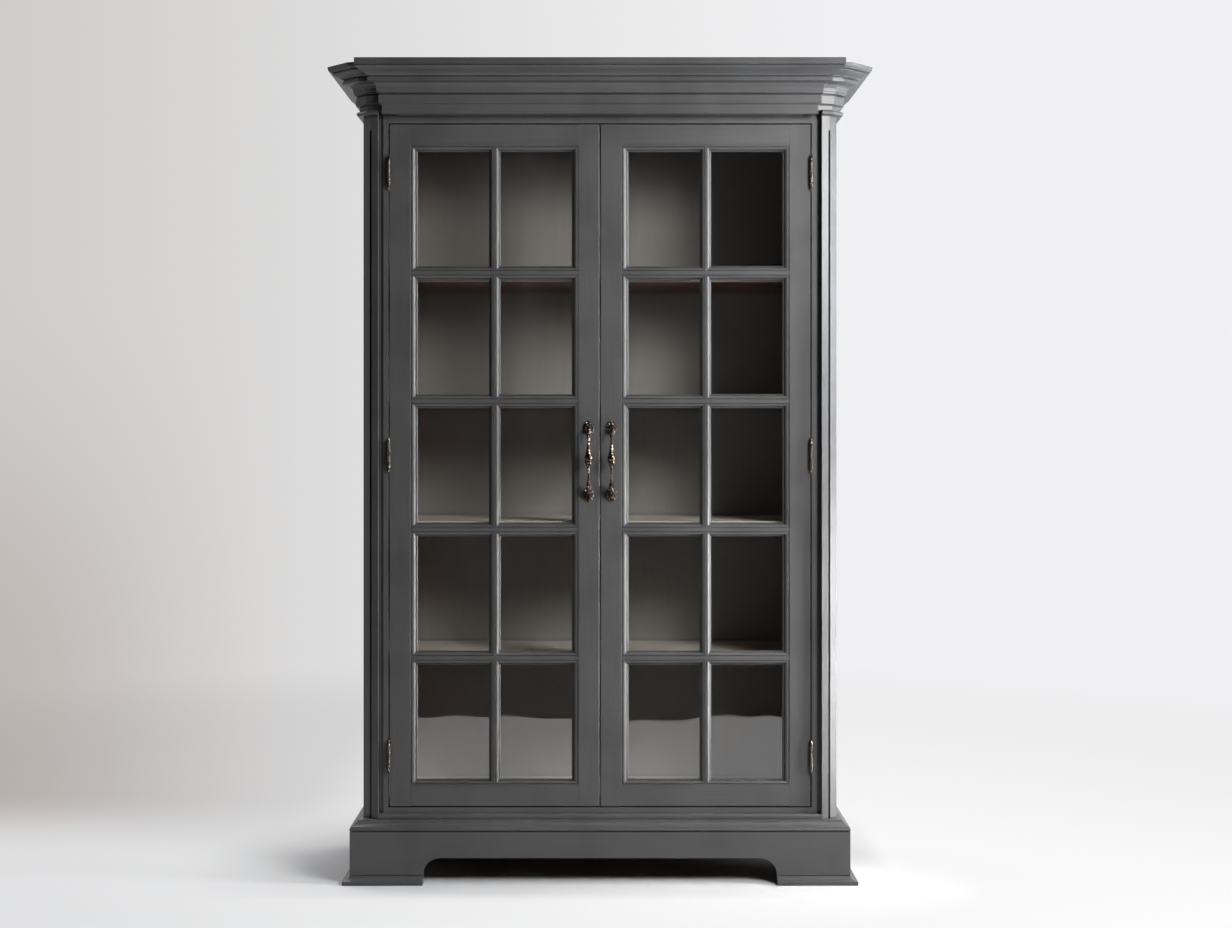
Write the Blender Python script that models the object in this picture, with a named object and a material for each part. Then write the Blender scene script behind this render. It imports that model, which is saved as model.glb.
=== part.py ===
# A glazed display cabinet: carcass, bracket plinth, moulded cornice and two inset doors.
# Metres, +Z up, +X to the right as seen from the front, the front faces -Y.
# Depths below are measured from the door face, positive into the cabinet.
import math

import bmesh
import bpy
from mathutils import Matrix, Vector

for old in list(bpy.data.objects):
    bpy.data.objects.remove(old, do_unlink=True)

# Driving sizes
FIT_GAP = 0.0003
CUT_OVERRUN = 0.006
SLIVER = 0.00001
ARRIS = 0.001
OVERALL_HEIGHT = 2.069
BODY_WIDTH = 1.204
DEPTH_BEHIND_FACE = 0.420
PANEL_BOARD = 0.020

POST_WIDTH = 0.0407
STRIP_WIDTH = 0.0114
FRAME_FLAT = 0.0128
HEAD_RAIL = 0.0184
FOOT_RAIL = 0.0263

DOOR_THICKNESS = 0.022
DOOR_GAP = 0.003
STILE_WIDTH = 0.0525
RAIL_WIDTH = 0.0508

PLINTH_HEIGHT = 0.131
PLINTH_BOARD = 0.022
BASE_HEIGHT = 0.027
CARCASS_FOOT = PLINTH_HEIGHT + BASE_HEIGHT + FIT_GAP

CORNICE_HEIGHT = 0.130
CENTRE_FORWARD = 0.038
CENTRE_REACH = 0.062
WING_REACH = 0.0785

SHELF_THICKNESS = 0.021
SHELF_SETBACK = 0.030
FLOOR_LIP = 0.007
CEILING_DROP = 0.0126
# Heights of the shelves as shares of the inside, and of the hinges as shares of the door
SHELF_SHARES = (0.21679, 0.41785, 0.59951, 0.78566)
HINGE_SHARES = (0.07347, 0.51538, 0.92942)
PULL_LIFT = 0.0108

# Places that follow from the driving sizes
FACE_Y = (CENTRE_FORWARD + CENTRE_REACH - DEPTH_BEHIND_FACE) / 2
BODY_HALF = BODY_WIDTH / 2
POST_INNER = BODY_HALF - POST_WIDTH
SIDE_INNER = BODY_HALF - PANEL_BOARD
CORNICE_FOOT = OVERALL_HEIGHT - CORNICE_HEIGHT

OPENING_HALF = POST_INNER - STRIP_WIDTH - FRAME_FLAT
OPENING_BOTTOM = CARCASS_FOOT + FOOT_RAIL
OPENING_TOP = CORNICE_FOOT - HEAD_RAIL
DOOR_WIDTH = OPENING_HALF - 1.5 * DOOR_GAP
DOOR_BOTTOM = OPENING_BOTTOM + DOOR_GAP
DOOR_HEIGHT = OPENING_TOP - DOOR_GAP - DOOR_BOTTOM
DOOR_MIDDLE_Z = DOOR_BOTTOM + DOOR_HEIGHT / 2
PULL_HEIGHT = DOOR_MIDDLE_Z + PULL_LIFT

FLOOR_TOP = OPENING_BOTTOM + FLOOR_LIP
CEILING = OPENING_TOP - CEILING_DROP
SHELF_HEIGHTS = [FLOOR_TOP + share * (CEILING - FLOOR_TOP) for share in SHELF_SHARES]
HINGE_HEIGHTS = [DOOR_BOTTOM + share * DOOR_HEIGHT for share in HINGE_SHARES]


def painted(name, colour, roughness, metallic=0.0, alpha=1.0):
    material = bpy.data.materials.new(name)
    material.use_nodes = True
    shader = material.node_tree.nodes["Principled BSDF"]
    shader.inputs["Base Color"].default_value = (*colour, 1.0)
    shader.inputs["Roughness"].default_value = roughness
    shader.inputs["Metallic"].default_value = metallic
    shader.inputs["Alpha"].default_value = alpha
    return material


charcoal_paint = painted("charcoal_paint", (0.075, 0.079, 0.085), 0.42)
cream_paint = painted("cream_paint", (0.56, 0.53, 0.47), 0.55)
grey_lining = painted("grey_lining", (0.24, 0.235, 0.23), 0.6)
clear_glass = painted("clear_glass", (0.85, 0.9, 0.88), 0.05, alpha=0.3)
aged_bronze = painted("aged_bronze", (0.13, 0.085, 0.055), 0.38, metallic=1.0)


# Shape helpers
def loft(rings, closed=False):
    """Skin a row of equal rings of points, capped at both ends unless it closes on itself."""
    bm = bmesh.new()
    rows = [[bm.verts.new(point) for point in ring] for ring in rings]
    following = rows[1:] + rows[:1] if closed else rows[1:]
    for row, after in zip(rows, following):
        for i, corner in enumerate(row):
            j = (i + 1) % len(row)
            bm.faces.new((corner, row[j], after[j], after[i]))
    if not closed:
        bm.faces.new(rows[0])
        bm.faces.new(rows[-1])
    return bm


def prism(outline, run):
    """Extrude a flat outline of points along the vector run."""
    bm = bmesh.new()
    face = bm.faces.new([bm.verts.new(point) for point in outline])
    grown = bmesh.ops.extrude_face_region(bm, geom=[face])
    moved = [part for part in grown["geom"] if isinstance(part, bmesh.types.BMVert)]
    bmesh.ops.translate(bm, verts=moved, vec=Vector(run))
    return bm


def post_section(plan, foot, top):
    """Extrude a plan outline upwards."""
    return prism([(x, y, foot) for x, y in plan], (0, 0, top - foot))


def board(low, high, arris=0.0, eased=None):
    """A rectangular board between two corners; arris eases all its edges, or those eased picks."""
    bm = bmesh.new()
    low, high = Vector(low), Vector(high)
    middle = Matrix.Translation((low + high) / 2)
    bmesh.ops.create_cube(bm, size=1, matrix=middle @ Matrix.Diagonal((*(high - low), 1)))
    if arris:
        edges = [edge for edge in bm.edges if eased is None or eased(
            (edge.verts[0].co + edge.verts[1].co) / 2)]
        bmesh.ops.bevel(bm, geom=edges, offset=arris, segments=1, affect="EDGES")
    return bm


def turned(profile, sides, axis="Z"):
    """Turn a profile of (radius, height) points, top to bottom, about the vertical axis."""
    bm = bmesh.new()
    points = [bm.verts.new((radius, 0, height)) for radius, height in profile]
    edges = [bm.edges.new(pair) for pair in zip(points, points[1:])]
    bmesh.ops.spin(
        bm, geom=points + edges, cent=(0, 0, 0), axis=(0, 0, 1), angle=math.tau,
        steps=sides, use_merge=True,
    )
    bmesh.ops.remove_doubles(bm, verts=list(bm.verts), dist=FIT_GAP / 10)
    if axis == "Y":
        bmesh.ops.rotate(bm, verts=list(bm.verts), matrix=Matrix.Rotation(math.pi / 2, 3, "X"))
    return bm


def swept(path, profile, start=None, closed=False):
    """Run a moulding profile of (reach, height) along a plan path, mitred at its corners."""
    count = len(path)
    normals = []
    for here, there in zip(path, path[1:] + path[:1]):
        run = Vector(there) - Vector(here)
        normals.append(Vector((run.y, -run.x)).normalized())
    rings = []
    for i, (x, y) in enumerate(path):
        before = normals[i - 1] if closed or i > 0 else normals[i]
        after = normals[i] if closed or i < count - 1 else normals[i - 1]
        mitre = (before + after) / (1 + before.dot(after))
        if i == 0 and start is not None:
            mitre = Vector(start)
        rings.append([(x + reach * mitre.x, y + reach * mitre.y, z) for reach, z in profile])
    return loft(rings, closed)


def piece(name, bm, material, at=(0, 0, 0)):
    """Make the object; at is its origin, with its depth counted from the door face."""
    bmesh.ops.recalc_face_normals(bm, faces=list(bm.faces))
    mesh = bpy.data.meshes.new(name)
    bm.to_mesh(mesh)
    bm.free()
    mesh.materials.append(material)
    return placed(name, mesh, at)


def placed(name, mesh, at=(0, 0, 0), turn=(0, 0, 0)):
    thing = bpy.data.objects.new(name, mesh)
    bpy.context.scene.collection.objects.link(thing)
    thing.location = (at[0], FACE_Y + at[1], at[2])
    thing.rotation_euler = turn
    return thing


def combined(target, tool, operation):
    """Apply a Boolean of another object to the target, and remove that object."""
    step = target.modifiers.new(operation.lower(), "BOOLEAN")
    step.operation = operation
    step.solver = "EXACT"
    step.object = tool
    tool.hide_render = True
    tool.display_type = "WIRE"
    graph = bpy.context.evaluated_depsgraph_get()
    graph.update()
    mesh = bpy.data.meshes.new_from_object(target.evaluated_get(graph))
    bm = bmesh.new()
    bm.from_mesh(mesh)
    bmesh.ops.remove_doubles(bm, verts=list(bm.verts), dist=SLIVER)
    bm.to_mesh(mesh)
    bm.free()
    target.modifiers.clear()
    target.data = mesh
    bpy.data.objects.remove(tool, do_unlink=True)
    return target


def fused(target, *shapes):
    for shape in shapes:
        combined(target, piece("guide", shape, target.data.materials[0]), "UNION")
    return target


def carved(target, *shapes):
    for shape in shapes:
        combined(target, piece("cutter", shape, target.data.materials[0]), "DIFFERENCE")
    return target


def mirror_across(bm):
    """Mirror a half shape that was built on the right-hand side to the left."""
    bmesh.ops.scale(bm, verts=list(bm.verts), vec=(-1, 1, 1))
    return bm


def smooth(thing, angle_degrees=35):
    thing.data.shade_smooth()
    thing.data.set_sharp_from_angle(angle=math.radians(angle_degrees))
    return thing


def scaled(shares, across, along, foot=0.0):
    return [(a * across, foot + b * along) for a, b in shares]


# Faceted corner posts
ARRIS_FORWARD = 0.014
POST_BACK = DOOR_THICKNESS
INNER_FACET_SHARE = 0.49
INNER_FACET_ANGLE = math.radians(18)
OUTER_FACET_ANGLE = math.radians(48)
SLOT_WIDTH = 0.0052
SLOT_DEPTH = 0.009
SLOT_STOP = 0.037
WING_OFFSET = 0.009
WING_LIFT = 0.011

SLOT_TOP = CORNICE_FOOT - SLOT_STOP
POST_TOP = CORNICE_FOOT + WING_LIFT - FIT_GAP
INNER_FACET = POST_WIDTH * INNER_FACET_SHARE
OUTER_FACET = POST_WIDTH - INNER_FACET

post_arris = Vector((POST_INNER, -ARRIS_FORWARD))
post_ridge = post_arris + Vector((INNER_FACET, INNER_FACET * math.tan(INNER_FACET_ANGLE)))
post_outer = post_ridge + Vector((OUTER_FACET, OUTER_FACET * math.tan(OUTER_FACET_ANGLE)))


def slot_cutter():
    """A stopped slot, round at its top, sunk straight back into the ridge between the facets."""
    half = SLOT_WIDTH / 2
    steps = 6
    arch = [math.pi * i / steps for i in range(steps + 1)]
    crown = [(half * math.cos(a), SLOT_TOP - half + half * math.sin(a)) for a in arch]
    outline = [(half, CARCASS_FOOT - CUT_OVERRUN)] + crown + [(-half, CARCASS_FOOT - CUT_OVERRUN)]
    points = [(post_ridge.x + x, post_ridge.y - CUT_OVERRUN, z) for x, z in outline]
    return prism(points, (0, CUT_OVERRUN + SLOT_DEPTH, 0))


def build_post(name, mirrored):
    plan = [
        tuple(post_arris), tuple(post_ridge), tuple(post_outer),
        (BODY_HALF, POST_BACK), (POST_INNER, POST_BACK),
    ]
    body, cutter = post_section(plan, CARCASS_FOOT, POST_TOP), slot_cutter()
    if mirrored:
        body, cutter = mirror_across(body), mirror_across(cutter)
    return carved(piece(name, body, charcoal_paint), cutter)


build_post("corner_post_right", False)
build_post("corner_post_left", True)


# Face frame
FRAME_THICKNESS = DOOR_THICKNESS
STRIP_SETBACK = 0.005
SILL_FRONT = ARRIS_FORWARD
SILL_FACE = 0.009
SILL_SHOULDER = 0.011
SILL_SLOPE = 0.0125
FRAME_LAP = 0.005
FRAME_SIDE = POST_INNER - FIT_GAP
TOP_PANEL = 0.015
TOP_DROP = 0.008
LEDGE_HEIGHT = OVERALL_HEIGHT - TOP_DROP - TOP_PANEL - FIT_GAP


def frame_stile(side):
    flat_edge = OPENING_HALF + FRAME_FLAT
    plan = [
        (OPENING_HALF, 0), (flat_edge, 0), (flat_edge, STRIP_SETBACK),
        (FRAME_SIDE, STRIP_SETBACK), (FRAME_SIDE, FRAME_THICKNESS),
        (OPENING_HALF, FRAME_THICKNESS),
    ]
    top = LEDGE_HEIGHT - FIT_GAP
    return post_section([(side * x, y) for x, y in plan], CARCASS_FOOT, top)


def frame_rail(foot, top):
    reach = OPENING_HALF + FRAME_LAP
    return board((-reach, 0, foot), (reach, FRAME_THICKNESS, top))


def sill_rail():
    """The bottom rail's sill, a fillet that stands forward to the posts' front arris."""
    outline = [
        (STRIP_SETBACK + FRAME_LAP, CARCASS_FOOT), (-SILL_FRONT, CARCASS_FOOT),
        (-SILL_FRONT, CARCASS_FOOT + SILL_FACE),
        (-SILL_FRONT + ARRIS, CARCASS_FOOT + SILL_SHOULDER),
        (0, CARCASS_FOOT + SILL_SLOPE),
        (STRIP_SETBACK + FRAME_LAP, CARCASS_FOOT + SILL_SLOPE),
    ]
    return prism([(-FRAME_SIDE, y, z) for y, z in outline], (2 * FRAME_SIDE, 0, 0))


face_frame = piece("face_frame", frame_stile(1), charcoal_paint)
fused(
    face_frame,
    frame_rail(OPENING_TOP, LEDGE_HEIGHT - 2 * FIT_GAP),
    frame_rail(CARCASS_FOOT + FIT_GAP, OPENING_BOTTOM),
    frame_stile(-1),
    sill_rail(),
)


# Side panels, framed on the outside, with the cleats that carry the boards inside
SIDE_FRAME = 0.062
FIELD_SINK = 0.006
FIELD_SLOPE = 0.010
FIELD_STEP = 0.0025
CLEAT = 0.012
CLEAT_SETBACK = 0.030
BACK_SETBACK = 0.008
BACK_BOARD = 0.012
BACK_FRONT = DEPTH_BEHIND_FACE - BACK_SETBACK - BACK_BOARD
SIDE_FRONT = POST_BACK + FIT_GAP
FLOOR_BOARD = 0.020

carried = [FLOOR_TOP - FLOOR_BOARD] + [z - SHELF_THICKNESS for z in SHELF_HEIGHTS] + [CEILING]


def panelled_side():
    """The right-hand side board with its sunk field, made by insets of the outer face."""
    bm = board((SIDE_INNER, SIDE_FRONT, CARCASS_FOOT), (BODY_HALF, DEPTH_BEHIND_FACE, POST_TOP))
    bm.faces.ensure_lookup_table()
    outer = [face for face in bm.faces if face.calc_center_median().x > BODY_HALF - ARRIS]
    bmesh.ops.inset_region(bm, faces=outer, thickness=SIDE_FRAME)
    bmesh.ops.inset_region(bm, faces=outer, thickness=FIELD_STEP, depth=-FIELD_STEP)
    bmesh.ops.inset_region(bm, faces=outer, thickness=FIELD_SLOPE, depth=FIELD_STEP - FIELD_SINK)
    return bm


def cleat_under(height):
    return board(
        (SIDE_INNER - CLEAT, SHELF_SETBACK + CLEAT_SETBACK, height - FIT_GAP - CLEAT),
        (SIDE_INNER + ARRIS, BACK_FRONT - CLEAT_SETBACK, height - FIT_GAP),
    )


for name, flip in (("side_panel_right", False), ("side_panel_left", True)):
    shapes = [panelled_side()] + [cleat_under(height) for height in carried]
    if flip:
        shapes = [mirror_across(shape) for shape in shapes]
    fused(piece(name, shapes[0], charcoal_paint), *shapes[1:])


# Boards between the sides
BOARD_HALF = SIDE_INNER - FIT_GAP
BOARD_BACK = BACK_FRONT - FIT_GAP
STOP_FRONT = DOOR_THICKNESS + 0.5 * ARRIS

piece("back_panel", board((-BOARD_HALF, BACK_FRONT, CARCASS_FOOT),
                          (BOARD_HALF, BACK_FRONT + BACK_BOARD, LEDGE_HEIGHT - FIT_GAP)),
      grey_lining)
piece("bottom_board", board((-BOARD_HALF, STOP_FRONT, FLOOR_TOP - FLOOR_BOARD),
                            (BOARD_HALF, BOARD_BACK, FLOOR_TOP)), cream_paint)
piece("top_board", board((-BOARD_HALF, STOP_FRONT, CEILING),
                         (BOARD_HALF, BOARD_BACK, CEILING + FLOOR_BOARD)), grey_lining)
for number, height in enumerate(SHELF_HEIGHTS, 1):
    piece(f"shelf_{number}", board((-BOARD_HALF, SHELF_SETBACK, height - SHELF_THICKNESS),
                                   (BOARD_HALF, BOARD_BACK, height), ARRIS), cream_paint)


# Cornice: a centre crown that breaks forward, faceted wings and the posts' collars
CENTRE_INSET = 0.0116
CROWN_BACK = CENTRE_FORWARD - FIT_GAP
RETURN_LENGTH = 0.016
CENTRE_LEDGE = 0.006
WING_BACK = 0.025
WING_LEDGE = 0.020
WING_START_SHARE = 0.8
COVE_STEPS = 4
OGEE_STEPS = 6
COLLAR_REACH = 0.017
COLLAR_NOSE = 0.008
COLLAR_STEPS = 6

# Reach and height of the members as shares of each moulding's reach and of the cornice height
BAND_SHARES = (
    (0, 0.173), (0.121, 0.202), (0.121, 0.357), (0.073, 0.372), (0.073, 0.387),
    (0.177, 0.392), (0.177, 0.430),
)
COVE_SHARES = ((0.194, 0.438), (0.355, 0.580))
FILLET_SHARES = ((0.532, 0.602), (0.532, 0.660), (0.492, 0.669), (0.492, 0.688))
CENTRE_OGEE_SHARES = ((0.56, 0.696), (0.96, 0.851))
CENTRE_CAP_SHARES = ((0.93, 0.859), (0.93, 0.869), (1, 0.876), (1, 0.990), (0.985, 1))
WING_OGEE_SHARES = ((0.57, 0.696), (0.86, 0.800))
WING_CAP_SHARES = ((0.84, 0.806), (0.84, 0.814), (0.92, 0.824), (0.975, 0.862), (1, 0.925))


def cove_between(ends):
    """A hollow quarter curve that leaves upright and arrives level."""
    (r0, z0), (r1, z1) = ends
    turns = [math.pi / 2 * i / COVE_STEPS for i in range(COVE_STEPS + 1)]
    return [(r0 + (r1 - r0) * (1 - math.cos(t)), z0 + (z1 - z0) * math.sin(t)) for t in turns]


def ogee_between(ends):
    """A cyma: hollow below and round above, upright at both ends."""
    (r0, z0), (r1, z1) = ends
    turns = [i / OGEE_STEPS for i in range(OGEE_STEPS + 1)]
    return [(r0 + (r1 - r0) * (3 - 2 * t) * t * t, z0 + (z1 - z0) * t) for t in turns]


def crown_profile(reach, ogee, cap, foot, back, ledge, seat, top):
    members = list(BAND_SHARES) + cove_between(COVE_SHARES) + list(FILLET_SHARES)
    members += ogee_between(ogee) + list(cap)
    outer = [(0, foot)] + scaled(members, reach, CORNICE_HEIGHT, CORNICE_FOOT)
    return outer + [(ledge, top), (ledge, seat), (-back, seat), (-back, foot)]


centre_profile = crown_profile(
    CENTRE_REACH, CENTRE_OGEE_SHARES, CENTRE_CAP_SHARES,
    CORNICE_FOOT, CROWN_BACK, CENTRE_LEDGE, LEDGE_HEIGHT, OVERALL_HEIGHT,
)
wing_top = OVERALL_HEIGHT - TOP_DROP
wing_foot = CORNICE_FOOT + WING_LIFT
wing_profile = crown_profile(
    WING_REACH, WING_OGEE_SHARES, WING_CAP_SHARES,
    wing_foot, WING_BACK, WING_LEDGE, LEDGE_HEIGHT - ARRIS, wing_top,
)


def offset_corner(corner, before, after, reach):
    """A corner moved out by reach from the two faces that meet there, given by their angles."""
    middle, half = (before + after) / 2, (after - before) / 2
    size = reach / math.cos(half)
    return corner + Vector((math.sin(middle), -math.cos(middle))) * size


def wing_corners(reach):
    ridge = offset_corner(post_ridge, INNER_FACET_ANGLE, OUTER_FACET_ANGLE, reach)
    outer = offset_corner(post_outer, OUTER_FACET_ANGLE, math.pi / 2, reach)
    return ridge, outer


CENTRE_HALF = POST_INNER - CENTRE_INSET
ridge, outer = wing_corners(WING_OFFSET)
wing_start_x = CENTRE_HALF - CUT_OVERRUN
wing_start = Vector((wing_start_x, ridge.y - (ridge.x - wing_start_x) * math.tan(INNER_FACET_ANGLE)))
start_slide = (
    WING_START_SHARE,
    -(1 - WING_START_SHARE * math.sin(INNER_FACET_ANGLE)) / math.cos(INNER_FACET_ANGLE),
)
wing_path = [tuple(wing_start), tuple(ridge), tuple(outer), (outer.x, DEPTH_BEHIND_FACE)]
return_end = -CENTRE_FORWARD + RETURN_LENGTH
centre_path = [
    (-CENTRE_HALF, return_end), (-CENTRE_HALF, -CENTRE_FORWARD),
    (CENTRE_HALF, -CENTRE_FORWARD), (CENTRE_HALF, return_end),
]


def collar_profile():
    """A nosed astragal round the post, its top let into the wing above."""
    flat = COLLAR_REACH - COLLAR_NOSE
    half = (WING_LIFT + ARRIS) / 2
    turns = [-math.pi / 2 + math.pi * i / COLLAR_STEPS for i in range(COLLAR_STEPS + 1)]
    nose = [(flat + COLLAR_NOSE * math.cos(t), CORNICE_FOOT + half * (1 + math.sin(t)))
            for t in turns]
    return [(FIT_GAP, CORNICE_FOOT)] + nose + [(FIT_GAP, CORNICE_FOOT + 2 * half)]


def wing_shapes():
    upright_start = (0, -1 / math.cos(INNER_FACET_ANGLE))
    collar_path = [
        tuple(post_arris), tuple(post_ridge), tuple(post_outer),
        (BODY_HALF, DEPTH_BEHIND_FACE - ARRIS),
    ]
    return swept(wing_path, wing_profile, start_slide), swept(
        collar_path, collar_profile(), upright_start
    )


cornice = piece("cornice", swept(centre_path, centre_profile), charcoal_paint)
fused(cornice, *wing_shapes())
fused(cornice, *[mirror_across(shape) for shape in wing_shapes()])


# Top panel, let into the ledge of the cornice
panel_ridge, panel_outer = wing_corners(WING_OFFSET + WING_LEDGE - FIT_GAP)
panel_front = -CENTRE_FORWARD - CENTRE_LEDGE + FIT_GAP
notch_x = CENTRE_HALF + CENTRE_LEDGE - FIT_GAP
notch_y = return_end + FIT_GAP
edge_x = panel_ridge.x + (notch_y - panel_ridge.y) / math.tan(OUTER_FACET_ANGLE)
right_edge = [
    (notch_x, panel_front), (notch_x, notch_y), (edge_x, notch_y), tuple(panel_outer),
    (panel_outer.x, DEPTH_BEHIND_FACE),
]
panel_plan = right_edge + [(-x, y) for x, y in reversed(right_edge)]
piece("top_panel", post_section(panel_plan, LEDGE_HEIGHT + FIT_GAP, wing_top), charcoal_paint)


# Base moulding frame and plinth
PLINTH_PROUD = 0.028
BASE_WIDTH = 0.070
SHOE_REACH = 0.0175
SHOE_HEIGHT = 0.0216
SHOE_STEPS = 4
SHOE_QUIRK = 0.0014
FRONT_FOOT = 0.1846
ARCH_HEIGHT = 0.0653
ARCH_RADIUS = 0.043
ARCH_STEPS = 7
SIDE_FOOT = 0.150
CORNER_BLOCK = 0.045

PLINTH_HALF = BODY_HALF + PLINTH_PROUD
FRONT_ARCH_HALF = PLINTH_HALF - FRONT_FOOT
PLINTH_FRONT = -(ARRIS_FORWARD + PLINTH_PROUD)
BASE_SHARES = (
    (-0.64, 1), (-0.64, 0.88), (-0.48, 0.83), (-0.455, 0.75), (-0.36, 0.62), (-0.22, 0.52),
    (-0.06, 0.46), (-0.06, 0.35), (0.0, 0.30), (0.035, 0.20), (0.0, 0.10), (-0.06, 0.06),
    (-0.16, 0.04), (-0.16, 0),
)
plinth_path = [
    (-PLINTH_HALF, DEPTH_BEHIND_FACE), (-PLINTH_HALF, PLINTH_FRONT),
    (PLINTH_HALF, PLINTH_FRONT), (PLINTH_HALF, DEPTH_BEHIND_FACE),
]

base_profile = scaled(BASE_SHARES, PLINTH_PROUD, BASE_HEIGHT, PLINTH_HEIGHT)
base_profile = [(-BASE_WIDTH, PLINTH_HEIGHT + FIT_GAP), (-BASE_WIDTH, CARCASS_FOOT - FIT_GAP)] + [
    (reach, min(max(z, PLINTH_HEIGHT + FIT_GAP), CARCASS_FOOT - FIT_GAP)) for reach, z in base_profile
]
base_moulding = piece("base_moulding", swept(plinth_path, base_profile), charcoal_paint)
fused(base_moulding, board(
    (-PLINTH_HALF + BASE_WIDTH - CUT_OVERRUN, DEPTH_BEHIND_FACE - BASE_WIDTH,
     PLINTH_HEIGHT + FIT_GAP),
    (PLINTH_HALF - BASE_WIDTH + CUT_OVERRUN, DEPTH_BEHIND_FACE, CARCASS_FOOT - FIT_GAP),
))


def shoe_profile():
    """The plinth board with its shoe: an upright fillet, a hollow, and a quirk at the board."""
    half = SHOE_HEIGHT / 2
    turns = [math.pi / 2 * i / SHOE_STEPS for i in range(SHOE_STEPS + 1)]
    curve = [(SHOE_QUIRK / 2 + (SHOE_REACH - SHOE_QUIRK / 2) * (1 - math.sin(t)),
              half + half * (1 - math.cos(t)) - SHOE_QUIRK) for t in turns]
    return [(-PLINTH_BOARD, 0), (SHOE_REACH, 0)] + curve + [
        (-SHOE_QUIRK, SHOE_HEIGHT - SHOE_QUIRK / 2), (0, SHOE_HEIGHT + SHOE_QUIRK / 2),
        (0, PLINTH_HEIGHT), (-PLINTH_BOARD, PLINTH_HEIGHT),
    ]


def arch_outline(half):
    """The bracket cut-out: upright sides that turn into a level head through round corners."""
    turns = [math.pi / 2 * i / ARCH_STEPS for i in range(ARCH_STEPS + 1)]
    right = [(half - ARCH_RADIUS * (1 - math.cos(t)),
              ARCH_HEIGHT - ARCH_RADIUS * (1 - math.sin(t))) for t in turns]
    left = [(-x, z) for x, z in reversed(right)]
    return [(half, -CUT_OVERRUN)] + right + left + [(-half, -CUT_OVERRUN)]


def front_arch():
    start = PLINTH_FRONT - SHOE_REACH - CUT_OVERRUN
    run = SHOE_REACH + PLINTH_BOARD + 2 * CUT_OVERRUN
    return prism([(x, start, z) for x, z in arch_outline(FRONT_ARCH_HALF)], (0, run, 0))


def side_arches():
    middle = (PLINTH_FRONT + DEPTH_BEHIND_FACE) / 2
    half = (DEPTH_BEHIND_FACE - PLINTH_FRONT) / 2 - SIDE_FOOT
    start = -PLINTH_HALF - SHOE_REACH - CUT_OVERRUN
    points = [(start, middle + y, z) for y, z in arch_outline(half)]
    return prism(points, (-2 * start, 0, 0))


def corner_block(side, depth):
    inner = side * (PLINTH_HALF - PLINTH_BOARD - CORNER_BLOCK)
    outer_x = side * (PLINTH_HALF - PLINTH_BOARD + ARRIS)
    return board(
        (min(inner, outer_x), depth, 2 * ARRIS),
        (max(inner, outer_x), depth + CORNER_BLOCK, PLINTH_HEIGHT - ARRIS),
    )


plinth = piece("plinth", swept(plinth_path, shoe_profile()), charcoal_paint)
rear_edge = PLINTH_HALF - PLINTH_BOARD + ARRIS
carved(plinth, front_arch(), side_arches())
fused(
    plinth,
    board((-rear_edge, DEPTH_BEHIND_FACE - PLINTH_BOARD, ARRIS),
          (rear_edge, DEPTH_BEHIND_FACE - ARRIS, PLINTH_HEIGHT - ARRIS)),
    *[corner_block(side, depth) for side in (-1, 1) for depth in (
        PLINTH_FRONT + PLINTH_BOARD - ARRIS,
        DEPTH_BEHIND_FACE - PLINTH_BOARD - CORNER_BLOCK + ARRIS,
    )],
)


# Doors: hinge axes, frame members, glazing bars and panes
AXIS_FORWARD = 0.0056
TENON_LENGTH = 0.032
TENON_WIDTH = 0.030
TENON_THICKNESS = 0.008
BAR_FACE = 0.0005
BAR_SETBACK = 0.0015
SIDE_BORDER_FLAT = 0.0012
END_BORDER_FLAT = 0.0042
MUNTIN_FLAT = 0.0035
CROSSBAR_FLAT = 0.010
STICKING_WIDTH = 0.0127
OUTER_WIDENING = 1.3
GLASS_FACE = 0.0124
GLASS_LAP = 0.007
GLASS_THICKNESS = 0.004
COLUMNS = 2
ROWS = 5
# Inset and depth of the sticking as shares of its width and of the depth of the glass
QUIRK_SHARES = ((0.055, 0.20), (0.18, 0.065))
OVOLO_START_SHARES = (0.18, 0.065)
OVOLO_END_SHARES = (0.70, 0.60)
BEAD_SHARES = ((0.72, 0.72), (0.79, 0.665), (0.90, 0.69), (0.97, 0.77))
OVOLO_STEPS = 4

BAR_DEPTH = DOOR_THICKNESS - BAR_FACE - BAR_SETBACK
DOOR_MIDDLE_X = (DOOR_GAP + DOOR_WIDTH) / 2
AXIS_X = OPENING_HALF - DOOR_GAP / 2
BARS_WIDTH = DOOR_WIDTH - 2 * STILE_WIDTH - 2 * FIT_GAP
BARS_HEIGHT = DOOR_HEIGHT - 2 * RAIL_WIDTH - 2 * FIT_GAP


def cell_spans(total, border, flat, count):
    """Start and end of each light between the flats of the bars, about the middle."""
    size = (total - 2 * border - (count - 1) * flat) / count
    starts = [-total / 2 + border + i * (size + flat) for i in range(count)]
    return [(start, start + size) for start in starts]


column_spans = cell_spans(BARS_WIDTH, SIDE_BORDER_FLAT, MUNTIN_FLAT, COLUMNS)
row_spans = cell_spans(BARS_HEIGHT, END_BORDER_FLAT, CROSSBAR_FLAT, ROWS)


def light_edges(column, inset):
    """The left and right edges of a light at an inset, which is wider against the stiles."""
    left, right = column_spans[column]
    wide = inset * OUTER_WIDENING
    return (left + (wide if column == 0 else inset),
            right - (wide if column == COLUMNS - 1 else inset))


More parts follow.
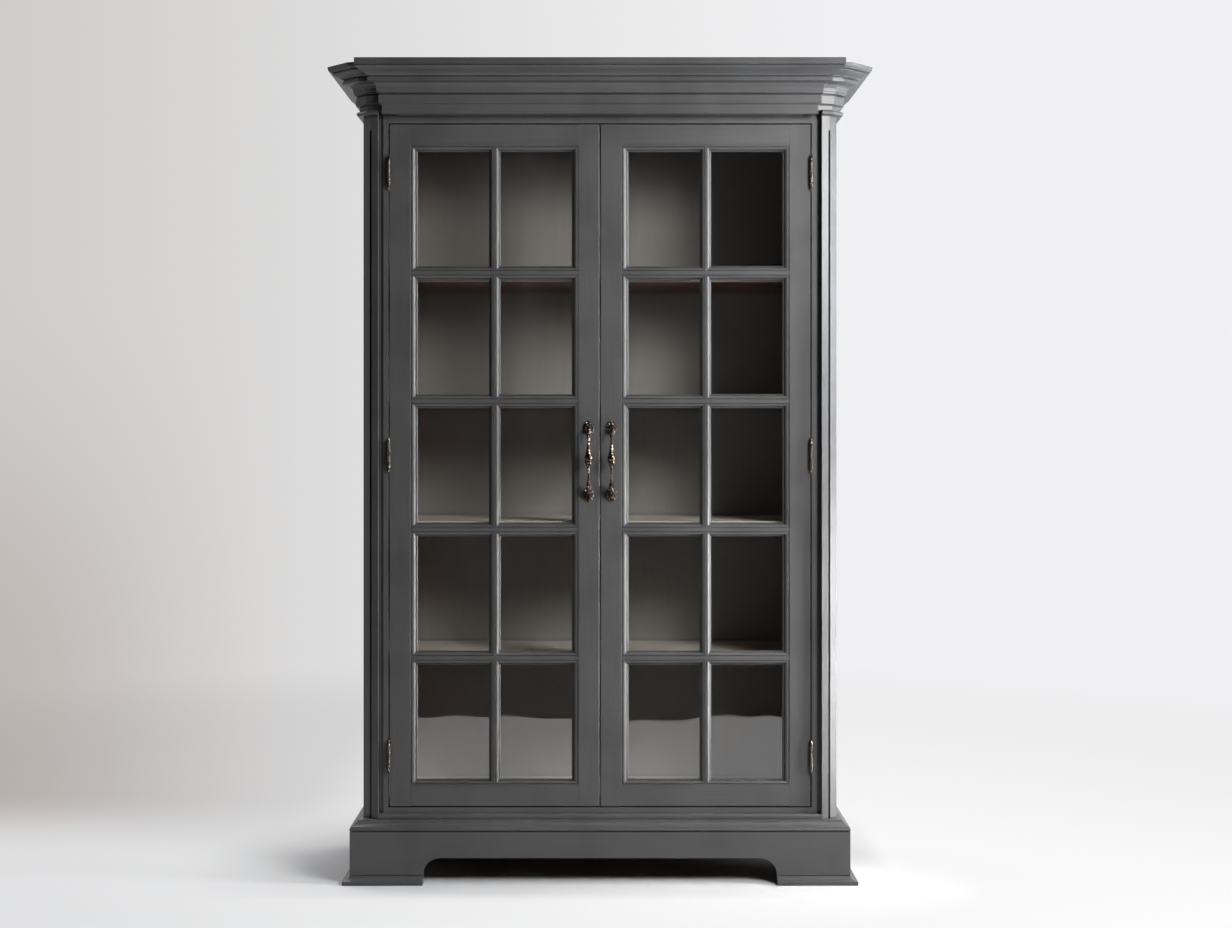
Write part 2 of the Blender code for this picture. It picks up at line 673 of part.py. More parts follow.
def sticking_steps():
    """Inset and depth of each ring of a light, from the face to the back of the bars."""
    (s0, d0), (s1, d1) = OVOLO_START_SHARES, OVOLO_END_SHARES
    turns = [math.pi / 2 * i / OVOLO_STEPS for i in range(1, OVOLO_STEPS + 1)]
    ovolo = [(s0 + (s1 - s0) * math.sin(t), d0 + (d1 - d0) * (1 - math.cos(t))) for t in turns]
    steps = scaled(list(QUIRK_SHARES) + ovolo + list(BEAD_SHARES), STICKING_WIDTH, GLASS_FACE)
    seat = STICKING_WIDTH - GLASS_LAP
    return steps + [(STICKING_WIDTH, GLASS_FACE), (seat, GLASS_FACE), (seat, BAR_FACE + BAR_DEPTH)]


def glazing_bars():
    """One lattice with a moulded ring round each light and a rebate behind it for the glass."""
    bm = bmesh.new()
    steps = sticking_steps()
    seat = steps[-1][0]

    def grid(inset, depth):
        xs = [-BARS_WIDTH / 2] + [
            edge for column in range(COLUMNS) for edge in light_edges(column, inset)
        ] + [BARS_WIDTH / 2]
        zs = [-BARS_HEIGHT / 2] + [
            edge for low, high in row_spans for edge in (low + inset, high - inset)
        ] + [BARS_HEIGHT / 2]
        verts = [[bm.verts.new((x, depth, z)) for x in xs] for z in zs]
        for j in range(len(zs) - 1):
            for i in range(len(xs) - 1):
                if i % 2 and j % 2:
                    continue
                bm.faces.new((verts[j][i], verts[j][i + 1], verts[j + 1][i + 1], verts[j + 1][i]))
        return verts

    front, back = grid(0, BAR_FACE), grid(seat, BAR_FACE + BAR_DEPTH)

    def rim(verts):
        return (verts[0] + [row[-1] for row in verts[1:]] + verts[-1][-2::-1]
                + [row[0] for row in verts[-2:0:-1]])

    front_rim, back_rim = rim(front), rim(back)
    for i, corner in enumerate(front_rim):
        j = (i + 1) % len(front_rim)
        bm.faces.new((corner, front_rim[j], back_rim[j], back_rim[i]))
    for row, (low, high) in enumerate(row_spans):
        for column in range(COLUMNS):
            i, j = 2 * column + 1, 2 * row + 1

            def corners(grid_verts):
                return [grid_verts[j][i], grid_verts[j][i + 1], grid_verts[j + 1][i + 1],
                        grid_verts[j + 1][i]]

            rings = [corners(front)]
            for inset, depth in steps[:-1]:
                left, right = light_edges(column, inset)
                rings.append([bm.verts.new(point) for point in (
                    (left, depth, low + inset), (right, depth, low + inset),
                    (right, depth, high - inset), (left, depth, high - inset),
                )])
            rings.append(corners(back))
            for ring, after in zip(rings, rings[1:]):
                for k in range(4):
                    n = (k + 1) % 4
                    bm.faces.new((ring[k], ring[n], after[n], after[k]))
    return bm


def stile_member():
    """A door stile about its own middle, mortised at both ends for the rails' tenons."""
    half = STILE_WIDTH / 2
    low = (-half, 0, -DOOR_HEIGHT / 2)
    shape = board(low, (half, DOOR_THICKNESS, DOOR_HEIGHT / 2), ARRIS, lambda mid: mid.x < -half / 2)
    thing = piece("stile", shape, charcoal_paint)
    depth = (DOOR_THICKNESS - TENON_THICKNESS) / 2
    for end in (-1, 1):
        middle = end * (DOOR_HEIGHT - RAIL_WIDTH) / 2
        reach = TENON_WIDTH / 2 + FIT_GAP
        carved(thing, board(
            (half - TENON_LENGTH - FIT_GAP, depth - FIT_GAP, middle - reach),
            (half + CUT_OVERRUN, DOOR_THICKNESS - depth + FIT_GAP, middle + reach),
        ))
    return thing


def rail_member():
    """A door rail about its own middle, with a tenon at each end."""
    half = DOOR_WIDTH / 2 - STILE_WIDTH - FIT_GAP
    low = (-half, 0, -RAIL_WIDTH / 2)
    shape = board(low, (half, DOOR_THICKNESS, RAIL_WIDTH / 2), ARRIS,
                  lambda mid: mid.z > RAIL_WIDTH / 4 and abs(mid.x) < half / 2)
    thing = piece("rail", shape, charcoal_paint)
    depth = (DOOR_THICKNESS - TENON_THICKNESS) / 2
    reach = half + TENON_LENGTH
    return fused(thing, board((-reach, depth, -TENON_WIDTH / 2),
                              (reach, DOOR_THICKNESS - depth, TENON_WIDTH / 2)))


# Barrel hinges: five knuckles, three on the frame leaf with the pin, two on the door leaf
KNUCKLE_COUNT = 5
BARREL_LENGTH = 0.066
KNUCKLE_GAP = 0.0004
BARREL_RADIUS = 0.0051
PIN_RADIUS = 0.0022
PIN_CLEARANCE = 0.0003
FINIAL_LENGTH = 0.0125
LEAF_THICKNESS = 0.0010
LEAF_DEPTH = 0.018
LEAF_CLEARANCE = 0.0003
BARREL_SIDES = 10
# Radius and height of a finial as shares of the barrel's radius and of the finial's length
FINIAL_SHARES = ((0, 1), (0.45, 0.88), (0.62, 0.66), (0.42, 0.44), (0.5, 0.34), (1.0, 0.14))

KNUCKLE_PITCH = BARREL_LENGTH / KNUCKLE_COUNT


def knuckle_span(number):
    low = -BARREL_LENGTH / 2 + number * KNUCKLE_PITCH
    return low + KNUCKLE_GAP / 2, low + KNUCKLE_PITCH - KNUCKLE_GAP / 2


def leaf_plate(side, numbers):
    """The leaf in the gap beside the barrel, with a tooth that reaches each of its knuckles."""
    inner = LEAF_CLEARANCE / 2
    low_x, high_x = sorted((side * inner, side * (inner + LEAF_THICKNESS)))
    root = AXIS_FORWARD + LEAF_CLEARANCE
    plate = board((low_x, root, -BARREL_LENGTH / 2), (high_x, root + LEAF_DEPTH, BARREL_LENGTH / 2))
    teeth = []
    for number in numbers:
        low, high = knuckle_span(number)
        inset = KNUCKLE_GAP / 2
        teeth.append(board((low_x, BARREL_RADIUS - 4 * LEAF_CLEARANCE, low + inset),
                           (high_x, root + LEAF_CLEARANCE, high - inset)))
    return plate, teeth


def frame_leaf():
    finial = scaled(FINIAL_SHARES, BARREL_RADIUS, FINIAL_LENGTH, BARREL_LENGTH / 2)
    profile = list(finial)
    for number in range(KNUCKLE_COUNT - 1, -1, -1):
        low, high = knuckle_span(number)
        if number % 2 == 0:
            profile += [(BARREL_RADIUS, high), (BARREL_RADIUS, low)]
        else:
            profile += [(PIN_RADIUS, high + KNUCKLE_GAP), (PIN_RADIUS, low - KNUCKLE_GAP)]
    profile += [(radius, -height) for radius, height in reversed(finial)]
    plate, teeth = leaf_plate(1, range(0, KNUCKLE_COUNT, 2))
    return fused(piece("frame_leaf", turned(profile, BARREL_SIDES), aged_bronze), *teeth, plate)


def door_leaf():
    plate, teeth = leaf_plate(-1, range(1, KNUCKLE_COUNT, 2))
    thing = fused(piece("door_leaf", plate, aged_bronze), *teeth)
    bore = PIN_RADIUS + PIN_CLEARANCE
    for number in range(1, KNUCKLE_COUNT, 2):
        low, high = knuckle_span(number)
        ring = turned([(bore, high), (BARREL_RADIUS, high), (BARREL_RADIUS, low), (bore, low),
                       (bore, high)], BARREL_SIDES)
        fused(thing, ring)
    return thing


# Cast bow pull on two rosettes
PULL_SPACING = 0.169
PULL_INSET = 0.0275
ROSETTE_RADIUS = 0.0142
ROSETTE_STRETCH = 1.25
ROSETTE_HEIGHT = 0.0085
ROSETTE_LOBES = 8
ROSETTE_SIDES = 32
LOBE_SHARE = 0.10
BOW_STANDOFF = 0.030
BULB_RADIUS = 0.0105
BOW_SIDES = 10
BOW_STEPS = 30
BOW_POWER = 0.75
# Radius of the bow as a share of the bulb's, against the share of the way down it
BOW_RADIUS_SHARES = (
    (0, 0.50), (0.10, 0.42), (0.14, 0.27), (0.21, 0.25), (0.25, 0.36), (0.36, 0.66), (0.40, 0.84),
    (0.415, 0.88), (0.445, 1.0), (0.50, 1.0), (0.53, 0.74), (0.56, 0.56), (0.585, 0.30),
    (0.70, 0.22), (0.78, 0.24), (0.81, 0.44), (0.86, 0.62), (0.90, 0.66), (1, 0.62),
)
# Radius and height of a rosette ring as shares of the rosette's radius and height
ROSETTE_SHARES = ((0.62, 0), (1.0, 0.10), (1.0, 0.40), (0.80, 0.72), (0.52, 0.88), (0.24, 1.0))


def share_at(table, place):
    """Read a table of (place, value) shares, straight between its rows."""
    for (low, first), (high, second) in zip(table, table[1:]):
        if place <= high:
            return first + (second - first) * (place - low) / (high - low)
    return table[-1][1]


def bow_point(share):
    turn = math.pi * share
    height = math.copysign(abs(math.cos(turn)) ** BOW_POWER, math.cos(turn)) * PULL_SPACING / 2
    return Vector((0, -FIT_GAP - ROSETTE_HEIGHT / 2 - (BOW_STANDOFF - ROSETTE_HEIGHT / 2)
                   * abs(math.sin(turn)) ** BOW_POWER, height))


def bow():
    """The bow as rings square to its curve, sized by the table of radii."""
    shares = [i / BOW_STEPS for i in range(BOW_STEPS + 1)]
    points = [bow_point(share) for share in shares]
    rings = []
    for i, point in enumerate(points):
        along = points[min(i + 1, BOW_STEPS)] - points[max(i - 1, 0)]
        along.normalize()
        side = Vector((1, 0, 0))
        out = along.cross(side).normalized()
        way_down = (points[0].z - point.z) / PULL_SPACING
        radius = BULB_RADIUS * share_at(BOW_RADIUS_SHARES, way_down)
        rings.append([
            point + (side * math.cos(math.tau * k / BOW_SIDES)
                     + out * math.sin(math.tau * k / BOW_SIDES)) * radius
            for k in range(BOW_SIDES)
        ])
    return loft(rings)


def rosette(height):
    """A domed flower rosette with a lobed rim."""
    rings = []
    for radius_share, height_share in ROSETTE_SHARES:
        ring = []
        for k in range(ROSETTE_SIDES):
            turn = math.tau * k / ROSETTE_SIDES
            lobe = 1 - LOBE_SHARE * radius_share * (1 - abs(math.cos(ROSETTE_LOBES / 2 * turn)))
            radius = ROSETTE_RADIUS * radius_share * lobe
            ring.append((radius * math.cos(turn), -FIT_GAP - ROSETTE_HEIGHT * height_share,
                         height + ROSETTE_STRETCH * radius * math.sin(turn)))
        rings.append(ring)
    return loft(rings)


def bow_pull():
    thing = piece("pull", rosette(PULL_SPACING / 2), aged_bronze)
    return smooth(fused(thing, bow(), rosette(-PULL_SPACING / 2)), 40)


# The shared meshes are modelled once, then each door hangs its own copies on its hinge axis
def mesh_of(thing):
    mesh = thing.data
    bpy.data.objects.remove(thing, do_unlink=True)
    return mesh


def modelled(name, bm, material):
    return mesh_of(piece(name, bm, material))


pane_edges = [light_edges(column, STICKING_WIDTH - GLASS_LAP) for column in range(COLUMNS)]
pane_half_x = (pane_edges[0][1] - pane_edges[0][0]) / 2 - FIT_GAP
pane_half_z = (row_spans[0][1] - row_spans[0][0]) / 2 - STICKING_WIDTH + GLASS_LAP - FIT_GAP
pane_front = GLASS_FACE + FIT_GAP
stile_mesh = mesh_of(stile_member())
rail_mesh = mesh_of(rail_member())
bars_mesh = modelled("bars", glazing_bars(), charcoal_paint)
pane_mesh = modelled("pane", board((-pane_half_x, pane_front, -pane_half_z),
                                   (pane_half_x, pane_front + GLASS_THICKNESS, pane_half_z)),
                     clear_glass)
frame_leaf_mesh = mesh_of(smooth(frame_leaf()))
door_leaf_mesh = mesh_of(smooth(door_leaf()))
pull_mesh = mesh_of(bow_pull())


def hang_door(name, side):
    """Place a door's members; side is -1 for the left door and 1 for the right."""
    axis = bpy.data.objects.new(f"{name}_axis", None)
    bpy.context.scene.collection.objects.link(axis)
    axis.location = (side * AXIS_X, FACE_Y - AXIS_FORWARD, 0)
    middle = side * DOOR_MIDDLE_X
    turn = (0, math.pi, 0) if side > 0 else (0, 0, 0)
    outward = side * (DOOR_WIDTH - STILE_WIDTH) / 2
    rail_lift = (DOOR_HEIGHT - RAIL_WIDTH) / 2
    turned_over = (0, math.pi, 0) if side < 0 else (0, 0, 0)
    hung = [
        placed(f"{name}_hinge_stile", stile_mesh, (middle + outward, 0, DOOR_MIDDLE_Z), turn),
        placed(f"{name}_meeting_stile", stile_mesh, (middle - outward, 0, DOOR_MIDDLE_Z), turned_over),
        placed(f"{name}_top_rail", rail_mesh, (middle, 0, DOOR_MIDDLE_Z + rail_lift)),
        placed(f"{name}_bottom_rail", rail_mesh, (middle, 0, DOOR_MIDDLE_Z - rail_lift),
               (0, math.pi, 0)),
        placed(f"{name}_glazing_bars", bars_mesh, (middle, 0, DOOR_MIDDLE_Z)),
        placed(f"{name}_pull", pull_mesh, (side * (DOOR_GAP / 2 + PULL_INSET), 0, PULL_HEIGHT)),
    ]
    for row, (low, high) in enumerate(row_spans, 1):
        for column, (left, right) in zip("ab", pane_edges):
            spot = (middle + (left + right) / 2, 0, DOOR_MIDDLE_Z + (low + high) / 2)
            hung.append(placed(f"{name}_pane_{row}{column}", pane_mesh, spot))
    for place, height in zip(("bottom", "middle", "top"), HINGE_HEIGHTS):
        spot = (side * AXIS_X, -AXIS_FORWARD, height)
        hung.append(placed(f"{name}_hinge_leaf_{place}", door_leaf_mesh, spot, turned_over))
        placed(f"{name}_frame_leaf_{place}", frame_leaf_mesh, spot, turned_over)
    for thing in hung:
        thing.parent = axis
        thing.location -= axis.location


hang_door("left_door", -1)
hang_door("right_door", 1)
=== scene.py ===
import math

import bmesh
import bpy
from mathutils import Matrix, Vector


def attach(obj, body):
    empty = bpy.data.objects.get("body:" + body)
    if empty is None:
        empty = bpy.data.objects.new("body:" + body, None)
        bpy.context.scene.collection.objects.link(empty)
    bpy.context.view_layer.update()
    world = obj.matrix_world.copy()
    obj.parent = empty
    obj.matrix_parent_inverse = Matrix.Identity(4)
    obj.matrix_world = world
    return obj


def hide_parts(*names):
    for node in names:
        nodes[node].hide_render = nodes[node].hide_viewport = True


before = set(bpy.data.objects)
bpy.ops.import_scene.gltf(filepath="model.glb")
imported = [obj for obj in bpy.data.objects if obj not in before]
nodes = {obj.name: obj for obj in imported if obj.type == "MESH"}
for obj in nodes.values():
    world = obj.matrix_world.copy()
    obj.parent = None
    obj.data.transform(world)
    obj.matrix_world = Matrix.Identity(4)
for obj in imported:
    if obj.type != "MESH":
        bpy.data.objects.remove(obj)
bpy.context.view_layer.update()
doorFace = -0.160  # the front of the doors, on the Y axis
print("frame loaded:", len(nodes), "nodes")


def shade(red, green, blue):
    # a colour as the screen shows it, 0 to 255, turned into the shader's own numbers
    def straight(value):
        value = value / 255
        return value / 12.92 if value <= 0.04045 else ((value + 0.055) / 1.055) ** 2.4
    return (straight(red), straight(green), straight(blue), 1.0)


class Signal:
    # wraps a socket, so that shader maths is written as plain sums
    def __init__(self, finish, socket):
        self.finish, self.socket = finish, socket

    def __add__(self, other):
        return self.finish.maths("ADD", self, other)

    def __sub__(self, other):
        return self.finish.maths("SUBTRACT", self, other)

    def __rsub__(self, other):
        return self.finish.maths("SUBTRACT", other, self)

    def __mul__(self, other):
        return self.finish.maths("MULTIPLY", self, other)

    def __truediv__(self, other):
        return self.finish.maths("DIVIDE", self, other)

    def __rtruediv__(self, other):
        return self.finish.maths("DIVIDE", other, self)

    __radd__, __rmul__ = __add__, __mul__

    def larger(self, other):
        return self.finish.maths("MAXIMUM", self, other)

    def size(self):
        return self.finish.maths("ABSOLUTE", self)

    def above(self, edge):
        return self.finish.maths("GREATER_THAN", self, edge)

    def below(self, edge):
        return self.finish.maths("LESS_THAN", self, edge)

    def rise(self, low, high):
        # 0 up to low, 1 from high on, with a soft turn between; high may be the smaller
        return self.finish.add("ShaderNodeMapRange", {"interpolation_type": "SMOOTHSTEP"},
                               {"Value": self, "From Min": low, "From Max": high})


class Finish:
    # the node tree of one material, or of the world
    def __init__(self, owner):
        owner.use_nodes = True
        self.owner, self.tree = owner, owner.node_tree
        self.tree.nodes.clear()
        self.path = None

    def node(self, kind, settings=None, inputs=None):
        made = self.tree.nodes.new(kind)
        for key, value in (settings or {}).items():
            setattr(made, key, value)
        for key, value in (inputs or {}).items():
            if isinstance(value, Signal):
                self.tree.links.new(value.socket, made.inputs[key])
            else:
                made.inputs[key].default_value = value
        return made

    def add(self, kind, settings=None, inputs=None, output=0):
        return Signal(self, self.node(kind, settings, inputs).outputs[output])

    def maths(self, operation, *values):
        return self.add("ShaderNodeMath", {"operation": operation}, dict(enumerate(values)))

    def vectors(self, operation, first, second=None, output=0):
        inputs = {0: first} if second is None else {0: first, 1: second}
        return self.add("ShaderNodeVectorMath", {"operation": operation}, inputs, output)

    def blend(self, factor, first, second, mode="MIX"):
        return self.add("ShaderNodeMix", {"data_type": "RGBA", "blend_type": mode},
                        {0: factor, 6: first, 7: second}, 2)

    def mixed(self, factor, first, second):
        # one shader over another
        return self.add("ShaderNodeMixShader", None, {0: factor, 1: first, 2: second})

    def axes(self, vector):
        made = self.node("ShaderNodeSeparateXYZ", None, {"Vector": vector})
        return [Signal(self, made.outputs[name]) for name in "XYZ"]

    def place(self):
        return self.add("ShaderNodeTexCoord", None, None, "Object")

    def stretched(self, place, scale):
        return self.add("ShaderNodeMapping", None, {"Vector": place, "Scale": scale})

    def noise(self, place, scale, detail, rough, warp=0.0):
        return self.add("ShaderNodeTexNoise", None, {
            "Vector": place, "Scale": scale, "Detail": detail, "Roughness": rough,
            "Distortion": warp})

    def trueNormal(self):
        return self.add("ShaderNodeNewGeometry", None, None, "Normal")

    def softEdges(self, radius):
        # the normal rounded over at edges, and how far it turns away from the true one
        trueNormal = self.trueNormal()
        softNormal = self.add("ShaderNodeBevel", {"samples": 4}, {"Radius": radius})
        return softNormal, 1 - self.vectors("DOT_PRODUCT", trueNormal, softNormal, "Value")

    def openness(self, samples, distance):
        # 1 on open faces, less in corners and hollows
        return self.add("ShaderNodeAmbientOcclusion", {"samples": samples},
                        {"Distance": distance}, "AO")

    def bump(self, height, distance, strength=1.0, normal=None):
        inputs = {"Height": height, "Distance": distance, "Strength": strength}
        if normal is not None:
            inputs["Normal"] = normal
        return self.add("ShaderNodeBump", None, inputs)

    def rays(self, kind):
        # 1 for rays of this kind, 0 for the others
        self.path = self.path or self.node("ShaderNodeLightPath")
        return Signal(self, self.path.outputs[f"Is {kind} Ray"])

    def close(self, surface):
        kind = "World" if isinstance(self.owner, bpy.types.World) else "Material"
        self.node("ShaderNodeOutput" + kind, None, {"Surface": surface})
        return self.owner


def newFinish(name):
    return Finish(bpy.data.materials.new(name))


def dress(material, slot, *names):
    for name in names:
        thing = nodes[name]
        thing.data.materials.clear()
        thing.data.materials.append(material)


# Ways of working that the pieces share, and how near two places count as one, in metres
near = {"weld": 0.00001, "touch": 0.0001, "axis": 0.0004}


def takeUp(thing):
    # selects this thing alone
    bpy.ops.object.select_all(action="DESELECT")
    thing.select_set(True)
    bpy.context.view_layer.objects.active = thing


def edit(thing):
    takeUp(thing)
    bpy.ops.object.mode_set(mode="EDIT")
    bpy.context.tool_settings.mesh_select_mode = (True, False, False)


def beginPoint(name, at):
    # one point, from which a profile is drawn by extruding
    bpy.ops.object.select_all(action="DESELECT")
    bpy.ops.mesh.primitive_plane_add(size=0.01)
    thing = bpy.context.active_object
    thing.name = name
    edit(thing)
    bpy.ops.mesh.select_all(action="SELECT")
    bpy.ops.mesh.merge(type="CENTER")
    bpy.ops.transform.translate(value=at)
    return thing


def turnedForm(name, profile, steps):
    # a profile of (radius, height) points, drawn and then spun about the upright axis
    (radius, height), rest = profile[0], profile[1:]
    thing = beginPoint(name, (radius, 0, height))
    for nextRadius, nextHeight in rest:
        bpy.ops.mesh.extrude_region_move(TRANSFORM_OT_translate={
            "value": (nextRadius - radius, 0, nextHeight - height)})
        radius, height = nextRadius, nextHeight
    bpy.ops.mesh.select_all(action="SELECT")
    bpy.ops.mesh.spin(steps=steps, angle=math.tau, center=(0, 0, 0), axis=(0, 0, 1))
    bpy.ops.mesh.select_all(action="SELECT")
    bpy.ops.mesh.remove_doubles(threshold=near["weld"])
    bpy.ops.mesh.normals_make_consistent(inside=False)
    bpy.ops.object.mode_set(mode="OBJECT")
    return thing


def pickPoints(thing, wanted):
    # in edit mode, selects the points whose place passes the test
    made = bmesh.from_edit_mesh(thing.data)
    made.select_mode = {"VERT"}
    for point in made.verts:
        point.select = bool(wanted(point.co))
    made.select_flush_mode()
    bmesh.update_edit_mesh(thing.data)


def pickFaces(thing, wanted):
    # the same for faces, by their middle and their normal
    made = bmesh.from_edit_mesh(thing.data)
    for face in made.faces:
        face.select = False
    bpy.context.tool_settings.mesh_select_mode = (False, False, True)
    made.select_mode = {"FACE"}
    for face in made.faces:
        face.select = bool(wanted(face.calc_center_median(), face.normal))
    made.select_flush_mode()
    bmesh.update_edit_mesh(thing.data)


def cutAcross(place, normal, **more):
    # in edit mode, cuts the whole mesh along a plane
    bpy.ops.mesh.select_all(action="SELECT")
    bpy.ops.mesh.bisect(plane_co=place, plane_no=normal, **more)


def fluted(thing, steps, low, high, share):
    # draws in every fourth column of a turned form between two heights, for lobes and flutes
    edit(thing)

    def inGroove(spot):
        if not low <= spot.z <= high or math.hypot(spot.x, spot.y) < near["axis"]:
            return False
        return round(math.atan2(spot.y, spot.x) / math.tau * steps) % 4 == 0
    pickPoints(thing, inGroove)
    bpy.ops.transform.resize(value=(share, share, 1), center_override=(0, 0, 0))
    bpy.ops.object.mode_set(mode="OBJECT")


def finishStep(thing, name, kind, **values):
    # adds a modifier and applies it
    takeUp(thing)
    step = thing.modifiers.new(name, kind)
    for key, value in values.items():
        setattr(step, key, value)
    bpy.ops.object.modifier_apply(modifier=step.name)


def copyOf(thing, name, turn):
    # a copy with its own mesh, its place and turn laid into the mesh
    made = bpy.data.objects.new(name, thing.data.copy())
    bpy.context.scene.collection.objects.link(made)
    made.data.transform(turn)
    return made


def joined(things, name):
    bpy.ops.object.select_all(action="DESELECT")
    for thing in things:
        thing.select_set(True)
    bpy.context.view_layer.objects.active = things[0]
    bpy.ops.object.join()
    things[0].name = name
    return things[0]


def moved(x, y, z):
    return Matrix.Translation((x, y, z))


# Satin charcoal paint, brushed along each member, over joinery that shows at rubbed edges; its
# hollows carry painted shade, and its rubbed edges a painted highlight
charcoal = {
    "colour": shade(76, 76, 77), "thin": shade(89, 89, 90), "deep": shade(56, 55, 56),
    "grimeAndPaintedLight": shade(24, 22, 23), "rubbedAndHighlight": shade(164, 166, 171),
    "roughness": 0.40, "specular": 0.5,
    "strokes": 330, "strokesAlong": 5, "clouds": 7.0, "specks": 95.0,
    "softEdge": 0.0007, "hollowReach": 0.010, "hollow": (0.70, 0.28), "edge": (0.03, 0.22),
    "thinShare": 0.5, "deepShare": 0.35, "hollowShadeShare": 0.85, "rubbedAndHighlightShare": 0.85,
    "brushStroke": 0.00016, "relief": 0.25,
}
bareWood = {
    "colour": shade(112, 66, 50), "dark": shade(70, 38, 30), "roughness": 0.62,
    "rings": 90, "ringsAlong": 6,
}


def woodColour(finish, place):
    # unpainted boards inside the plinth, under the shelves and on the sides' inner faces
    across, along = bareWood["rings"], bareWood["ringsAlong"]
    rings = finish.noise(finish.stretched(place, (along, along, across)), 1.0, 5.0, 0.6, 0.8)
    return finish.blend(rings.rise(0.3, 0.75), bareWood["dark"], bareWood["colour"])


def charcoalPaint(name, grain, inside=None):
    # grain is upright, level, or a test for where it is level; inside is one for bare wood
    finish = newFinish(name)
    place = finish.place()
    x, y, z = finish.axes(place)
    fine, long = charcoal["strokes"], charcoal["strokesAlong"]
    upright = finish.noise(finish.stretched(place, (fine, fine, long)), 1.0, 4.0, 0.62)
    level = finish.noise(finish.stretched(place, (long, long, fine)), 1.0, 4.0, 0.62)
    if grain == "upright":
        stroke = upright
    elif grain == "level":
        stroke = level
    else:
        across = grain(finish, x, z)
        stroke = upright * (1 - across) + level * across
    cloud = finish.noise(place, charcoal["clouds"], 4.0, 0.55)
    speck = finish.noise(place, charcoal["specks"], 3.0, 0.6)
    softNormal, turn = finish.softEdges(charcoal["softEdge"])
    # painted shade: hollows and quirks are darkened by occlusion towards a near-black tone laid
    # into the colour
    hollow = finish.openness(6, charcoal["hollowReach"]).rise(*charcoal["hollow"])
    edge = turn.rise(*charcoal["edge"]) * (1 - hollow)
    # edges rubbed lighter, which is also a painted highlight laid along every arris
    wearAndHighlight = edge * speck.rise(0.42, 0.68) * cloud.rise(0.35, 0.65)
    colour = finish.blend(stroke.rise(0.28, 0.72) * charcoal["thinShare"],
                          charcoal["colour"], charcoal["thin"])
    colour = finish.blend(cloud.rise(0.62, 0.3) * charcoal["deepShare"], colour, charcoal["deep"])
    colour = finish.blend(hollow * charcoal["hollowShadeShare"], colour, charcoal["grimeAndPaintedLight"])
    colour = finish.blend(wearAndHighlight * charcoal["rubbedAndHighlightShare"], colour, charcoal["rubbedAndHighlight"])
    gloss = charcoal["roughness"] + (stroke - 0.5) * 0.08 + (cloud - 0.5) * 0.12
    if inside is not None:
        raw = inside(x, y, z)
        colour = finish.blend(raw, colour, woodColour(finish, place))
        gloss = gloss * (1 - raw) + raw * bareWood["roughness"]
    normal = finish.bump(stroke + speck * 0.4, charcoal["brushStroke"], charcoal["relief"],
                         softNormal)
    skin = finish.add("ShaderNodeBsdfPrincipled", None, {
        "Base Color": colour, "Roughness": gloss, "Normal": normal,
        "Specular IOR Level": charcoal["specular"]})
    return finish.close(skin)


# Where the brush turns from stiles to rails, and where paint ends at bare wood
joinery = {
    "sideInner": 0.5825, "stileInner": 0.5371, "barPitch": 0.3237, "barLevel": 1.0526,
    "barHalf": 0.056, "plinthInner": 0.6075, "plinthFront": doorFace - 0.0195,
    "plinthBack": doorFace + 0.3985, "baseUnder": 0.1318,
}


def frameRails(finish, x, z):
    return x.size().below(joinery["stileInner"])


def crossBars(finish, x, z):
    # the level bars of the lattice: near each line between two rows of glass
    turn = finish.maths("FRACT", (z - joinery["barLevel"]) / joinery["barPitch"] + 10.0)
    return (turn - 0.5).size().below(joinery["barHalf"])


def innerSide(x, y, z):
    return x.size().below(joinery["sideInner"])


def plinthInside(x, y, z):
    return (x.size().below(joinery["plinthInner"]) * y.above(joinery["plinthFront"])
            * y.below(joinery["plinthBack"]))


def underside(x, y, z):
    return (z.below(joinery["baseUnder"]) * x.size().below(joinery["plinthInner"])
            * y.above(joinery["plinthFront"]))


def eachDoor(*endings):
    return [f"{door}_door_{ending}" for door in ("left", "right") for ending in endings]


dress(charcoalPaint("charcoalUpright", "upright"), "charcoal_paint",
      "corner_post_left", "corner_post_right", *eachDoor("hinge_stile", "meeting_stile"))
dress(charcoalPaint("charcoalLevel", "level"), "charcoal_paint",
      "cornice", "top_panel", *eachDoor("top_rail", "bottom_rail"))
dress(charcoalPaint("charcoalFrame", frameRails), "charcoal_paint", "face_frame")
dress(charcoalPaint("charcoalLattice", crossBars), "charcoal_paint", *eachDoor("glazing_bars"))
dress(charcoalPaint("charcoalSides", "upright", innerSide), "charcoal_paint",
      "side_panel_left", "side_panel_right")
dress(charcoalPaint("charcoalPlinth", "level", plinthInside), "charcoal_paint", "plinth")
dress(charcoalPaint("charcoalBase", "level", underside), "charcoal_paint", "base_moulding")
print("charcoal paint laid on the joinery")


# Meeting stiles with a stepped edge: a thin fin at the back narrows the gap between the doors
meeting = {"edge": 0.0015, "step": 0.0011, "from": doorFace + 0.011}


def stepEdge(door, side):
    stile = nodes[f"{door}_door_meeting_stile"]
    thing = copyOf(stile, f"{door}_meeting_stile_stepped", Matrix.Identity(4))
    edit(thing)
    bpy.ops.mesh.select_all(action="SELECT")
    bpy.ops.mesh.remove_doubles(threshold=near["weld"])
    cutAcross((0, meeting["from"], 0), (0, 1, 0))
    pickFaces(thing, lambda spot, normal: abs(spot.x - side * meeting["edge"]) < near["touch"]
              and spot.y > meeting["from"] and -side * normal.x > 0.9)
    bpy.ops.mesh.extrude_region_move(TRANSFORM_OT_translate={
        "value": (-side * meeting["step"], 0, 0)})
    bpy.ops.object.mode_set(mode="OBJECT")
    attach(thing, f"{door}_door")
    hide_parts(f"{door}_door_meeting_stile")


for door, side in (("left", -1), ("right", 1)):
    stepEdge(door, side)
print("meeting edges stepped")
